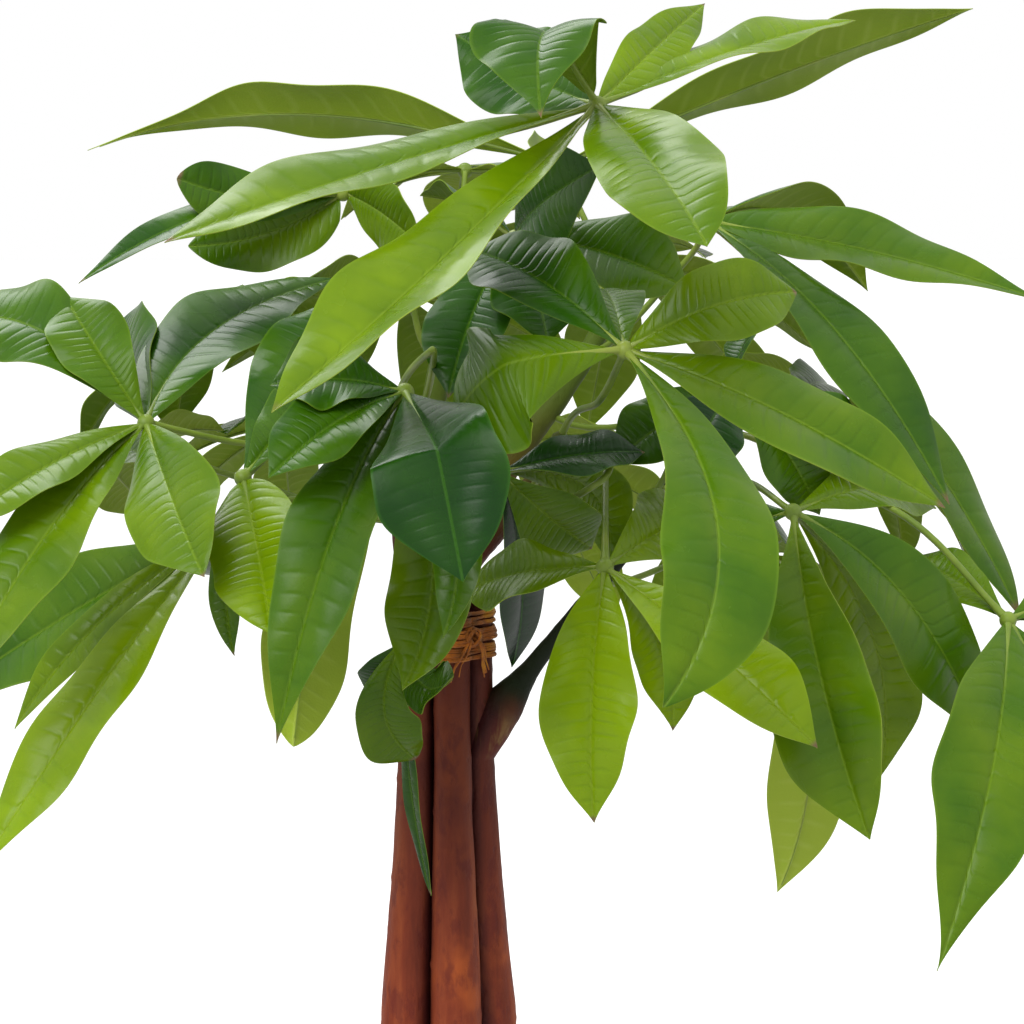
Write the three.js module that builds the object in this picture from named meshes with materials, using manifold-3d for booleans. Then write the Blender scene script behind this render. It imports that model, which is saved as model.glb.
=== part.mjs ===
// A potted money tree: five slim stems, twisted about each other at the foot and tied together at the
// top, stand in the soil of a plain clay pot. Above the tie each stem goes on as a shoot, and each shoot
// carries several compound leaves. Millimetres, +Z up, origin on the pot's flat bottom, +Y to the back.

import * as THREE from 'three';
import { mergeVertices } from 'three/addons/utils/BufferGeometryUtils.js';
import Module from 'manifold-3d';

// ---------------------------------------------------------------- driving dimensions

const GAP = 0.3; // between two solids that touch

const POT = {
  height: 185,
  footRadius: 73,
  mouthRadius: 99,
  rimRadius: 107,
  rimHeight: 28,
  wall: 7,
  floor: 9,
  edge: 2, // rounding of the foot and of the rim
  sides: 24, // of the pot and of the soil in it
};

const SOIL = { top: 168, mound: 5, lump: 3, rings: 3, seed: 7 };

// the five stems, by where each stands in the ring, in degrees from +X towards the back
const STEM_ANGLES = { front: -74, right: -2, back_right: 70, back_left: 142, left: -146 };

// by height: radius of the ring through the stem centres, and radius of each stem
const TRUNK = [
  { z: 148, ring: 30.5, stem: 15.5 },
  { z: 168, ring: 31.5, stem: 16.6 },
  { z: 186, ring: 31.0, stem: 16.4 },
  { z: 215, ring: 29.0, stem: 15.2 },
  { z: 260, ring: 26.4, stem: 13.8 },
  { z: 320, ring: 24.6, stem: 13.5 },
  { z: 413, ring: 22.9, stem: 13.1 },
  { z: 480, ring: 18.8, stem: 10.9 },
  { z: 520, ring: 17.0, stem: 9.8 },
  { z: 560, ring: 16.0, stem: 9.2 },
  { z: 590, ring: 15.7, stem: 9.0 },
  { z: 625, ring: 15.4, stem: 8.9 },
];
const TWISTED_STEP = 15; // height between the sections of a stem where it is twisted
const STRAIGHT_ABOVE = 413; // the twist ends here
const TWIST = 140; // degrees, from there down to the soil
const STEM_SIDES = 8;

const SHOOT = { tipRadius: 4.5, steps: 7, reach: 0.45, rise: 0.7, splay: 6, pull: 0.5, lift: 0.35 };
// the stem whose shoot forks off below the tie, and whose cut top stays in the tie
const FORK = {
  stem: 'right',
  height: 546,
  lean: 20, // degrees from upright
  // by share of its length: the radius of the shoot that forks off, which is a knob at first and then slim
  radii: [[0, 9.6], [0.08, 11.0], [0.16, 10.6], [0.23, 7.2], [0.29, 4.8], [0.4, 4.1], [1, 3.8]],
  cutTop: 634,
};

const TIE = { bottom: 596, top: 622, strand: 1.6, band: 1.4, turns: 3, stepsPerStem: 4 };
const KNOT = {
  angle: -52,
  radius: 5.5,
  squash: 0.8,
  endRadius: 1.3,
  endLength: 26,
  endBow: 4,
  endSpread: 5,
  endSteps: 4,
  endSides: 6,
};

const STALK = {
  radius: 1.7,
  footRadius: 2.3,
  sides: 5,
  knob: 5,
  clear: 0.4, // from the shoot's bark to the stalk's foot
  leave: 1.5, // how strongly the curve keeps its direction at the foot, and at the knob
  arrive: 1.2,
  stepsBetweenPlaces: 3,
  stepsOfPlainArc: 5,
};

const BLADE = {
  thickness: 0.8,
  slant: 20, // degrees that each half rises from the midrib
  curl: 0.22, // how far the edges bend back down, as a share of the half width
  root: 0.6, // half width where the blade leaves the knob
  rise: 1.3, // the outline is s^rise (1-s)^fall, brought to full width where it is widest
  fall: 0.95,
  sunk: 0.75, // share of the knob's radius at which the root starts
  stations: [0.18, 0.42, 0.7],
  foldedStations: [0.22, 0.5, 0.76],
  bluntStations: [0.15, 0.4, 0.65, 0.87],
  bluntBelow: 0.8, // a blade whose fall is less than this ends bluntly
};

// A place is read off a front view as [across, down, depth]: the first two in steps of the view, the last
// in millimetres, negative towards the viewer. The view looks along +Y and slightly down.
const VIEW = {
  size: 1024, // steps along each side
  step: 0.5, // millimetres per step in the plane of the trunk
  distance: 1250,
  pitch: 8, // degrees
  aim: new THREE.Vector3(34.5, 0, 669),
};

// where each shoot ends
const SHOOT_TIPS = {
  back_left: [450, 260, 20],
  left: [395, 430, -25],
  front: [560, 440, -45],
  right: [680, 450, -10],
  back_right: [620, 280, 60],
};

// The leaves that show from the front, blade by blade: where the knob and each tip lie, how wide the blade
// is, how far its face turns about it from facing the viewer, and either a place that its midrib passes
// halfway or how high it arches, as a share of its length. fold sharpens the bend there towards a crease.
// A blade may have its own slant, curl, rise and fall instead of the ones in BLADE.
const FRONT_LEAVES = [
  {
    name: 'leaf_crown_front', shoot: 'back_left', at: 1.0, tone: 'young',
    hub: [597, 105, -150], stalk: [[575, 185, -75]], blades: [
      { tip: [271, 412, -290], width: 54, turn: 48, via: [437, 263, -228], slant: 28, curl: 0.15 },
      { tip: [164, 242, -235], width: 51, turn: 64, via: [374, 169, -190] },
      { tip: [541, 118, -215], width: 60, turn: 75, via: [545, 31, -175], fold: 0.2, rise: 1.0, fall: 1.1 },
      { tip: [455, 34, -95], width: 48, turn: 20, via: [525, 74, -115], rise: 0.9 },
      { tip: [705, 3, -75], width: 26, turn: -20, arch: 0.02, rise: 1.0, fall: 1.0 },
      { tip: [856, 20, -90], width: 42, turn: -66, via: [735, 50, -110] },
      { tip: [707, 246, -300], width: 50, turn: -12, via: [655, 166, -245], rise: 0.75, fall: 0.75 },
    ],
  },
  {
    name: 'leaf_crown_back', shoot: 'back_right', at: 1.0, tone: 'olive',
    hub: [560, 165, 60], stalk: [[590, 230, 50]], blades: [
      { tip: [87, 150, 130], width: 57, turn: 122, via: [305, 113, 110], rise: 1.6, fall: 2.3 },
      { tip: [973, 8, 140], width: 56, turn: -122, via: [784, 72, 115], rise: 1.2, fall: 1.1 },
      { tip: [700, 240, 235], width: 50, turn: -115, arch: 0.06 },
      { tip: [440, 225, 265], width: 50, turn: 115, arch: 0.06 },
      { tip: [585, 160, 290], width: 52, turn: 170, arch: 0.06 },
    ],
  },
  {
    name: 'leaf_left_high', shoot: 'back_left', at: 0.75, tone: 'deep',
    hub: [343, 193, -40], stalk: [[400, 226, -5]], blades: [
      { tip: [78, 283, -110], width: 24, turn: 60, via: [212, 212, -75], rise: 1.0, fall: 1.0 },
      { tip: [188, 246, -50], width: 39, turn: 10, via: [270, 232, -45], rise: 0.35, fall: 0.6 },
      { tip: [177, 178, -80], width: 29, turn: 20, via: [262, 199, -60], fall: 0.45 },
      { tip: [420, 246, -70], width: 36, turn: 30, via: [380, 212, -55] },
    ],
  },
  {
    name: 'leaf_left_front', shoot: 'left', at: 0.95, tone: 'young',
    hub: [146, 423, -120], stalk: [[260, 445, -80]], blades: [
      { tip: [-50, 325, -70], width: 54, turn: 45, via: [40, 330, -95], fall: 0.8 },
      { tip: [65, 297, -80], width: 38, turn: 25, via: [102, 357, -110], fall: 0.8 },
      { tip: [338, 278, 0], width: 51, turn: -40, via: [214, 330, -50], rise: 0.9 },
      { tip: [-45, 528, -190], width: 34, turn: 45, via: [50, 464, -160] },
      { tip: [-45, 690, -215], width: 40, turn: 30, via: [52, 525, -175] },
      { tip: [204, 577, -215], width: 47, turn: 5, via: [172, 500, -180], rise: 0.9 },
      { tip: [118, 324, -10], width: 46, turn: -20, via: [133, 364, -55], rise: 0.9, fall: 0.5 },
    ],
  },
  {
    name: 'leaf_left_low', shoot: 'left', at: 0.6, tone: 'young',
    hub: [215, 535, -95], stalk: [[290, 500, -60]], blades: [
      { tip: [-60, 700, -60], width: 54, turn: 35, via: [85, 604, -75] },
      { tip: [-22, 872, -180], width: 38, turn: 40, via: [98, 690, -150] },
      { tip: [14, 729, -105], width: 20, turn: 40, arch: 0.1 },
      { tip: [130, 570, 40], width: 40, turn: 60, arch: 0.05 },
      { tip: [262, 560, 30], width: 34, turn: 20, arch: 0.1 },
    ],
  },
  {
    name: 'leaf_left_inner', shoot: 'left', at: 0.8, tone: 'young',
    hub: [243, 478, -140], stalk: [[300, 440, -110]], blades: [
      { tip: [271, 633, -205], width: 46, turn: 5, via: [258, 552, -180], rise: 0.45, fall: 0.6 },
      { tip: [234, 656, -140], width: 16, turn: 15, via: [226, 570, -135] },
      { tip: [330, 300, -40], width: 44, turn: -20, via: [291, 378, -90] },
      { tip: [340, 392, -80], width: 36, turn: -40, arch: 0.1 },
    ],
  },
  {
    name: 'leaf_centre_left', shoot: 'left', at: 1.0, tone: 'mid',
    hub: [405, 392, -170], stalk: [[432, 350, -120], [425, 400, -60]], blades: [
      { tip: [270, 385, -185], width: 46, turn: 50, arch: 0.1 },
      { tip: [276, 744, -235], width: 42, turn: 25, via: [333, 532, -215], rise: 1.1, fall: 1.1 },
      { tip: [268, 478, -220], width: 40, turn: 40, arch: 0.1 },
      { tip: [463, 582, -290], width: 58, turn: 0, via: [437, 450, -270], fold: 0.85 },
      { tip: [443, 638, -215], width: 24, turn: 10, via: [455, 515, -200] },
      { tip: [402, 690, -190], width: 40, turn: 5, via: [433, 562, -170] },
      { tip: [293, 747, -190], width: 44, turn: 155, via: [324, 594, -150], fall: 0.7 },
    ],
  },
  {
    name: 'leaf_centre', shoot: 'front', at: 1.0, tone: 'mid',
    hub: [625, 350, -200], stalk: [[600, 400, -130]], blades: [
      { tip: [470, 250, -150], width: 50, turn: 40, arch: 0.1 },
      { tip: [797, 292, -190], width: 40, turn: -35, via: [713, 306, -205], rise: 0.95, fall: 0.75 },
      { tip: [946, 508, -225], width: 47, turn: -48, via: [775, 409, -225] },
      { tip: [663, 708, -330], width: 48, turn: -12, via: [717, 525, -290], rise: 1.1, fall: 0.8 },
      {
        tip: [452, 424, -205], width: 66, turn: 35, via: [505, 364, -220], fold: 0.35, slant: -15,
        curl: 0.1, fall: 0.8,
      },
      { tip: [600, 290, -120], width: 30, turn: 20, arch: 0.1 },
    ],
  },
  {
    name: 'leaf_centre_low', shoot: 'front', at: 0.6, tone: 'young',
    hub: [605, 567, -150], stalk: [[602, 480, -120], [605, 450, -70]], blades: [
      { tip: [468, 590, -120], width: 40, turn: 55, arch: 0.08, fall: 0.7 },
      {
        tip: [594, 823, -200], width: 47, turn: 20, via: [592, 692, -185], slant: 28, curl: 0.15,
        rise: 0.95,
      },
      { tip: [673, 731, -165], width: 30, turn: -15, via: [658, 640, -160] },
      { tip: [692, 520, -60], width: 42, turn: -35, arch: 0.1 },
      { tip: [818, 748, -235], width: 42, turn: -40, via: [713, 648, -205] },
    ],
  },
  {
    name: 'leaf_right_low', shoot: 'right', at: 0.9, tone: 'deep',
    hub: [793, 512, -125], stalk: [[740, 480, -70]], blades: [
      {
        tip: [870, 840, -215], width: 55, turn: 22, via: [820, 672, -185], slant: 28, curl: 0.15,
        fall: 0.9,
      },
      { tip: [777, 892, -150], width: 38, turn: 165, via: [813, 733, -145] },
      { tip: [985, 748, -120], width: 52, turn: -42, via: [906, 598, -130] },
      { tip: [880, 778, -70], width: 42, turn: -20, via: [874, 640, -80] },
      { tip: [930, 500, -30], width: 40, turn: -60, arch: 0.1 },
      { tip: [700, 560, -40], width: 40, turn: 60, arch: 0.1 },
    ],
  },
  {
    name: 'leaf_right_edge', shoot: 'right', at: 1.0, tone: 'mid',
    hub: [1008, 620, -120], stalk: [[885, 505, -95]], blades: [
      { tip: [937, 972, -225], width: 53, turn: 0, via: [991, 776, -190], rise: 1.0, fall: 1.35 },
      { tip: [1120, 860, -165], width: 50, turn: -20, arch: 0.1 },
      { tip: [1125, 590, -60], width: 44, turn: -50, arch: 0.1 },
      { tip: [1110, 640, 40], width: 44, turn: -60, arch: 0.1 },
      { tip: [905, 560, -60], width: 30, turn: 40, arch: 0.1 },
    ],
  },
  {
    name: 'leaf_right_high', shoot: 'back_right', at: 0.8, tone: 'deep',
    hub: [708, 222, 10], stalk: [[685, 262, 30]], blades: [
      { tip: [1050, 303, -40], width: 52, turn: -52, via: [872, 251, -10], rise: 0.7, fall: 1.3 },
      { tip: [950, 505, -95], width: 43, turn: -40, via: [833, 327, -55] },
      { tip: [1019, 615, -60], width: 40, turn: -50, via: [886, 398, -20], fall: 0.7 },
      { tip: [868, 291, 120], width: 54, turn: -120, via: [790, 214, 80], rise: 0.7 },
      { tip: [640, 215, 120], width: 40, turn: 120, arch: 0.05 },
    ],
  },
  {
    name: 'leaf_inner_top', shoot: 'back_left', at: 0.86, tone: 'deep',
    hub: [515, 238, -50], stalk: [[490, 255, -25]], blades: [
      { tip: [548, 345, -110], width: 46, turn: -20, arch: 0.1 },
      { tip: [448, 398, -105], width: 44, turn: 30, arch: 0.1 },
      { tip: [690, 290, -80], width: 50, turn: -40, arch: 0.1 },
      { tip: [602, 165, -130], width: 46, turn: -30, arch: 0.1 },
      { tip: [420, 195, -30], width: 40, turn: 90, arch: 0.1 },
    ],
  },
  {
    name: 'leaf_inner_right', shoot: 'right', at: 0.75, tone: 'deep',
    hub: [735, 385, -90], stalk: [[700, 420, -50]], blades: [
      { tip: [880, 462, -90], width: 40, turn: -50, arch: 0.06 },
      { tip: [820, 515, -92], width: 35, turn: -30, arch: 0.08 },
      { tip: [775, 300, -60], width: 36, turn: -80, arch: 0.1 },
      { tip: [680, 480, -130], width: 40, turn: 20, arch: 0.1 },
      { tip: [612, 464, -100], width: 38, turn: 40, arch: 0.08 },
    ],
  },
  {
    name: 'leaf_inner_centre', shoot: 'front', at: 0.8, tone: 'mid',
    hub: [500, 472, -120], stalk: [[545, 462, -80]], blades: [
      { tip: [592, 549, -95], width: 40, turn: 10, arch: 0.08 },
      { tip: [512, 668, -10], width: 28, turn: -30, via: [522, 572, -70] },
      { tip: [645, 452, -110], width: 40, turn: -70, arch: 0.05 },
      { tip: [608, 565, -50], width: 34, turn: -20, via: [590, 490, -55] },
    ],
  },
  {
    name: 'leaf_lower_left', shoot: 'left', at: 0.35, tone: 'mid',
    hub: [404, 640, -85], stalk: [[396, 590, -60]], blades: [
      { tip: [416, 759, -75], width: 34, turn: 10, via: [384, 710, -85], rise: 1.0, fall: 0.5 },
      { tip: [453, 676, -100], width: 34, turn: -20, via: [424, 686, -90], fall: 0.7 },
      { tip: [374, 700, -60], width: 26, turn: 10, arch: 0.05 },
      { tip: [431, 896, -52], width: 11, turn: 50, via: [409, 772, -62], rise: 1.0, fall: 0.7 },
    ],
  },
];

// The leaves of the back and the top, by a rule: each is an even fan of blades round its knob, which stands
// out from the crown's middle, and tilts outwards.
const FAN = { middleX: 15, halfSpread: 122, droop: 16, arch: 0.1, sideLength: 0.58, sideWidth: 0.7 };
const BACK_LEAVES = [
  {
    name: 'leaf_back_1', shoot: 'back_right', at: 0.6, tone: 'mid',
    azimuth: 14, reach: 190, height: 722, tilt: 40, length: 138, width: 46, count: 6,
  },
  {
    name: 'leaf_back_2', shoot: 'back_right', at: 0.9, tone: 'deep',
    azimuth: 62, reach: 160, height: 790, tilt: 32, length: 170, width: 50, count: 6,
  },
  {
    name: 'leaf_back_3', shoot: 'back_left', at: 0.9, tone: 'mid',
    azimuth: 105, reach: 160, height: 770, tilt: 36, length: 146, width: 48, count: 6,
  },
  {
    name: 'leaf_back_4', shoot: 'back_left', at: 0.6, tone: 'deep',
    azimuth: 151, reach: 150, height: 766, tilt: 32, length: 118, width: 44, count: 6,
  },
  {
    name: 'leaf_back_5', shoot: 'right', at: 0.6, tone: 'deep',
    azimuth: 36, reach: 195, height: 630, tilt: 48, length: 145, width: 48, count: 6,
  },
  {
    name: 'leaf_back_6', shoot: 'back_right', at: 0.45, tone: 'mid',
    azimuth: 84, reach: 165, height: 680, tilt: 42, length: 155, width: 48, count: 6,
  },
  {
    name: 'leaf_back_7', shoot: 'back_left', at: 0.45, tone: 'deep',
    azimuth: 125, reach: 185, height: 698, tilt: 30, length: 132, width: 46, count: 6,
  },
  {
    name: 'leaf_top_mid', shoot: 'back_left', at: 0.96, tone: 'mid',
    azimuth: 95, reach: 52, height: 838, tilt: 8, length: 95, width: 40, count: 5,
  },
  {
    name: 'leaf_back_8', shoot: 'left', at: 0.5, tone: 'mid',
    azimuth: 172, reach: 190, height: 690, tilt: 42, length: 140, width: 46, count: 6,
  },
];

// ---------------------------------------------------------------- materials

const MATERIALS = {
  pot: { color: 0xb5623f, roughness: 0.9 },
  soil: { color: 0x3a271b, roughness: 1.0 },
  bark: { color: 0x7d4129, roughness: 0.65 },
  tie: { color: 0xb9791f, roughness: 0.8 },
  young: { color: 0x7fa318, roughness: 0.35 },
  mid: { color: 0x4a8220, roughness: 0.35 },
  deep: { color: 0x1f5a23, roughness: 0.3 },
  olive: { color: 0x6d7c1e, roughness: 0.5 },
};

function material(name) {
  return new THREE.MeshStandardMaterial({ ...MATERIALS[name], metalness: 0 });
}

// ---------------------------------------------------------------- small helpers

const radians = THREE.MathUtils.degToRad;
const at = (x, y, z) => new THREE.Vector3(x, y, z);
const UP = at(0, 0, 1);

// the place in space of a place read off the front view
function place([across, down, depth]) {
  const pitch = radians(VIEW.pitch);
  const focus = VIEW.distance / VIEW.step;
  const forward = at(0, Math.cos(pitch), -Math.sin(pitch));
  const upward = at(0, Math.sin(pitch), Math.cos(pitch));
  const eye = VIEW.aim.clone().addScaledVector(forward, -VIEW.distance);
  const ray = forward
    .clone()
    .add(at((across - VIEW.size / 2) / focus, 0, 0))
    .addScaledVector(upward, (VIEW.size / 2 - down) / focus);
  return eye.addScaledVector(ray, (depth - eye.y) / ray.y);
}

// the part of v square to unit vector n, at length 1
function squareTo(n, v) {
  return v.clone().addScaledVector(n, -v.dot(n)).normalize();
}

// a value of TRUNK at a height
function trunkAt(z, key) {
  const last = TRUNK.length - 1;
  if (z <= TRUNK[0].z) return TRUNK[0][key];
  if (z >= TRUNK[last].z) return TRUNK[last][key];
  const i = TRUNK.findIndex((row) => row.z > z);
  const share = (z - TRUNK[i - 1].z) / (TRUNK[i].z - TRUNK[i - 1].z);
  return THREE.MathUtils.lerp(TRUNK[i - 1][key], TRUNK[i][key], share);
}

// repeatable numbers from 0 to 1
function randomFrom(seed) {
  let state = seed;
  return () => {
    state = (state * 48271) % 2147483647;
    return state / 2147483647;
  };
}

// ---------------------------------------------------------------- closed solids and joins

const wasm = await Module();
wasm.setup();

function geometryFrom(points, faces) {
  const geometry = new THREE.BufferGeometry();
  geometry.setAttribute('position', new THREE.Float32BufferAttribute(points.flatMap((p) => p.toArray()), 3));
  geometry.setIndex(faces);
  return geometry;
}

function solidFrom(geometry) {
  const bare = geometry.clone();
  bare.deleteAttribute('normal');
  bare.deleteAttribute('uv');
  const merged = mergeVertices(bare);
  return new wasm.Manifold(
    new wasm.Mesh({
      numProp: 3,
      vertProperties: new Float32Array(merged.attributes.position.array),
      triVerts: new Uint32Array(merged.index.array),
    }),
  );
}

function geometryOf(solid) {
  const mesh = solid.getMesh();
  const geometry = new THREE.BufferGeometry();
  geometry.setAttribute('position', new THREE.BufferAttribute(new Float32Array(mesh.vertProperties), 3));
  geometry.setIndex(new THREE.BufferAttribute(new Uint32Array(mesh.triVerts), 1));
  return geometry;
}

function joined(geometries) {
  return geometryOf(geometries.map(solidFrom).reduce((whole, piece) => whole.add(piece)));
}

function part(name, geometry, finish) {
  geometry.computeVertexNormals();
  const mesh = new THREE.Mesh(geometry, material(finish));
  mesh.name = name;
  return mesh;
}

// Faces between rings of equal size, each running clockwise as seen along the path. leansBack says at which
// corners the quads are split along their other diagonal.
function skin(ringCount, size, leansBack) {
  const faces = [];
  for (let i = 0; i < ringCount - 1; i++) {
    for (let k = 0; k < size; k++) {
      const p = i * size + k;
      const q = i * size + ((k + 1) % size);
      const r = q + size;
      const s = p + size;
      if (leansBack(k)) faces.push(p, q, s, q, r, s);
      else faces.push(p, q, r, p, r, s);
    }
  }
  return faces;
}

const neverBack = () => false;

// a closed tube through centres, with a radius at each; leaving, if given, is its direction at the foot
function tube(centres, radii, sides, leaving) {
  const count = centres.length;
  const points = [];
  let side = null;
  for (let i = 0; i < count; i++) {
    const before = centres[Math.max(i - 1, 0)];
    const after = centres[Math.min(i + 1, count - 1)];
    const along = i === 0 && leaving ? leaving : after.clone().sub(before).normalize();
    if (side === null) side = along.clone().cross(Math.abs(along.z) < 0.9 ? UP : at(1, 0, 0));
    side = squareTo(along, side);
    const across = along.clone().cross(side);
    for (let k = 0; k < sides; k++) {
      const angle = (2 * Math.PI * k) / sides;
      const point = centres[i].clone();
      point.addScaledVector(side, radii[i] * Math.cos(angle));
      points.push(point.addScaledVector(across, radii[i] * Math.sin(angle)));
    }
  }
  const faces = skin(count, sides, neverBack);
  const end = (count - 1) * sides;
  for (let k = 1; k < sides - 1; k++) {
    faces.push(0, k + 1, k);
    faces.push(end, end + k, end + k + 1);
  }
  return geometryFrom(points, faces);
}

// ---------------------------------------------------------------- stems

const TRUNK_FOOT = TRUNK[0].z;
const TRUNK_TOP = TRUNK[TRUNK.length - 1].z;
const TRUNK_TOP_RADIUS = TRUNK[TRUNK.length - 1].stem;

// how far the ring of stems is turned at a height: nothing at the top, more and more quickly downwards
function twistAt(z) {
  const share = Math.max((STRAIGHT_ABOVE - z) / (STRAIGHT_ABOVE - SOIL.top), 0);
  return radians(TWIST) * share * share * (1.5 - 0.5 * share);
}

function stemCentre(name, z) {
  const angle = radians(STEM_ANGLES[name]) + twistAt(z);
  const ring = trunkAt(z, 'ring');
  return at(ring * Math.cos(angle), ring * Math.sin(angle), z);
}

// a shoot, which goes on from its stem at first and bends to its tip
function shootCurve(name) {
  const forked = name === FORK.stem;
  const start = stemCentre(name, forked ? FORK.height : TRUNK_TOP);
  const tip = place(SHOOT_TIPS[name]);
  const outward = at(start.x, start.y, 0).normalize();
  const toTip = tip.clone().sub(start);
  const reach = SHOOT.reach * toTip.length();
  toTip.normalize();
  const lean = radians(forked ? FORK.lean : 0);
  const leaving = start.clone().addScaledVector(UP, Math.cos(lean) * SHOOT.rise * reach);
  leaving.addScaledVector(outward, Math.sin(lean) * SHOOT.rise * reach + SHOOT.splay);
  const arriving = tip.clone().addScaledVector(toTip, -SHOOT.pull * reach);
  arriving.addScaledVector(UP, -SHOOT.lift * reach);
  return new THREE.CubicBezierCurve3(start, leaving, arriving, tip);
}

function shootRadius(name, share) {
  if (name !== FORK.stem) return THREE.MathUtils.lerp(TRUNK_TOP_RADIUS, SHOOT.tipRadius, share);
  const i = Math.max(FORK.radii.findIndex(([place]) => place >= share), 1);
  const [[from, radius], [to, nextRadius]] = FORK.radii.slice(i - 1, i + 1);
  return THREE.MathUtils.mapLinear(share, from, to, radius, nextRadius);
}

// heights of a stem's sections: close together where it twists, wide apart where it runs straight
function trunkHeights() {
  const heights = [];
  for (let z = TRUNK_FOOT; z < STRAIGHT_ABOVE; z += TWISTED_STEP) heights.push(z);
  for (const { z } of TRUNK) if (z >= STRAIGHT_ABOVE && z < TRUNK_TOP) heights.push(z);
  return heights;
}

function stem(name) {
  const forked = name === FORK.stem;
  const heights = trunkHeights();
  if (forked) heights.push(TRUNK_TOP, FORK.cutTop);
  const centres = heights.map((z) => stemCentre(name, z));
  const radii = heights.map((z) => trunkAt(z, 'stem'));
  const shares = Array.from({ length: SHOOT.steps + 1 }, (_, i) => i / SHOOT.steps);
  const shootCentres = shares.map((share) => shootCurve(name).getPoint(share));
  const shootRadii = shares.map((share) => shootRadius(name, share));
  const rods = forked
    ? [tube(centres, radii, STEM_SIDES), tube(shootCentres, shootRadii, STEM_SIDES)]
    : [tube([...centres, ...shootCentres], [...radii, ...shootRadii], STEM_SIDES)];
  return part(`stem_${name}`, joined(rods), 'bark');
}

// the plain hole in the soil that a stem stands in: the stem's own foot, made wider and longer
function stemHole(name) {
  const centres = [];
  const radii = [];
  for (let z = TRUNK_FOOT - TWISTED_STEP; z < SOIL.top + 2 * TWISTED_STEP; z += TWISTED_STEP) {
    centres.push(stemCentre(name, z));
    radii.push(trunkAt(z, 'stem') + 2 * GAP);
  }
  return tube(centres, radii, STEM_SIDES);
}

// ---------------------------------------------------------------- pot and soil

function potOutside(z) {
  return THREE.MathUtils.lerp(POT.footRadius, POT.mouthRadius, z / POT.height);
}

function potInside(z) {
  return potOutside(z) - POT.wall;
}

function pot() {
  const rimLow = POT.height - POT.rimHeight;
  const profile = [
    [0, 0],
    [POT.footRadius - POT.edge, 0],
    [POT.footRadius, POT.edge],
    [potOutside(rimLow), rimLow],
    [POT.rimRadius - POT.edge, rimLow],
    [POT.rimRadius - POT.edge / 2, rimLow + POT.edge],
    [POT.rimRadius, POT.height - POT.edge],
    [POT.rimRadius - POT.edge, POT.height],
    [potInside(POT.height) + POT.edge, POT.height],
    [potInside(POT.height), POT.height - POT.edge],
    [potInside(POT.floor), POT.floor],
    [0, POT.floor],
  ];
  const shape = new THREE.LatheGeometry(profile.map(([r, z]) => new THREE.Vector2(r, z)), POT.sides);
  shape.rotateX(Math.PI / 2); // the lathe's axis, +Y, becomes +Z
  return part('pot', geometryOf(solidFrom(shape)), 'pot');
}

// rings of the soil's solid, from the foot to the middle of its lumpy mound
function soilRings() {
  const random = randomFrom(SOIL.seed);
  const foot = POT.floor + GAP;
  const rings = [{ radius: potInside(foot) - GAP, height: foot, lump: 0 }];
  for (let i = 0; i < SOIL.rings; i++) {
    const share = 1 - i / SOIL.rings;
    const radius = share * (potInside(SOIL.top) - GAP);
    const height = SOIL.top + SOIL.mound * (1 - share * share);
    rings.push({ radius, height, lump: i === 0 ? 0 : SOIL.lump });
  }
  return rings.map(({ radius, height, lump }) => {
    const ring = [];
    for (let k = 0; k < POT.sides; k++) {
      const angle = (2 * Math.PI * k) / POT.sides;
      ring.push(at(radius * Math.cos(angle), radius * Math.sin(angle), height + lump * (random() - 0.5)));
    }
    return ring;
  });
}

function soil() {
  const rings = soilRings();
  const points = [...rings.flat(), at(0, 0, POT.floor + GAP), at(0, 0, SOIL.top + SOIL.mound)];
  const faces = skin(rings.length, POT.sides, neverBack);
  const foot = points.length - 2;
  const crest = points.length - 1;
  const top = foot - POT.sides;
  for (let k = 0; k < POT.sides; k++) {
    const next = (k + 1) % POT.sides;
    faces.push(foot, next, k);
    faces.push(crest, top + k, top + next);
  }
  let solid = solidFrom(geometryFrom(points, faces));
  for (const name of Object.keys(STEM_ANGLES)) solid = solid.subtract(solidFrom(stemHole(name)));
  return part('soil', geometryOf(solid), 'soil');
}

// ---------------------------------------------------------------- tie

// the band's section, as pairs of distance from the stems and height: flat inside, one round per turn outside
function tieSection() {
  const section = [];
  const steps = 2 * TIE.turns;
  for (let i = 0; i <= steps; i++) {
    const bulge = i % 2 === 1 ? TIE.strand : 0;
    section.push([GAP + TIE.band + bulge, THREE.MathUtils.lerp(TIE.top, TIE.bottom, i / steps)]);
  }
  section.push([GAP, TIE.bottom], [GAP, TIE.top]);
  return section;
}

function tieBand() {
  const section = tieSection();
  const points = [];
  const angles = Object.values(STEM_ANGLES).sort((a, b) => a - b);
  const halfArc = 180 / angles.length;
  for (const angle of angles) {
    for (let i = 0; i < TIE.stepsPerStem; i++) {
      const facing = radians(angle + halfArc * ((2 * (i + 0.5)) / TIE.stepsPerStem - 1));
      for (const [offset, z] of section) {
        const ring = trunkAt(z, 'ring');
        const reach = trunkAt(z, 'stem') + offset;
        const x = ring * Math.cos(radians(angle)) + reach * Math.cos(facing);
        const y = ring * Math.sin(radians(angle)) + reach * Math.sin(facing);
        points.push(at(x, y, z));
      }
    }
  }
  const rounds = angles.length * TIE.stepsPerStem;
  const faces = skin(rounds + 1, section.length, neverBack).map((i) => i % points.length);
  return geometryFrom(points, faces);
}

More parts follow.
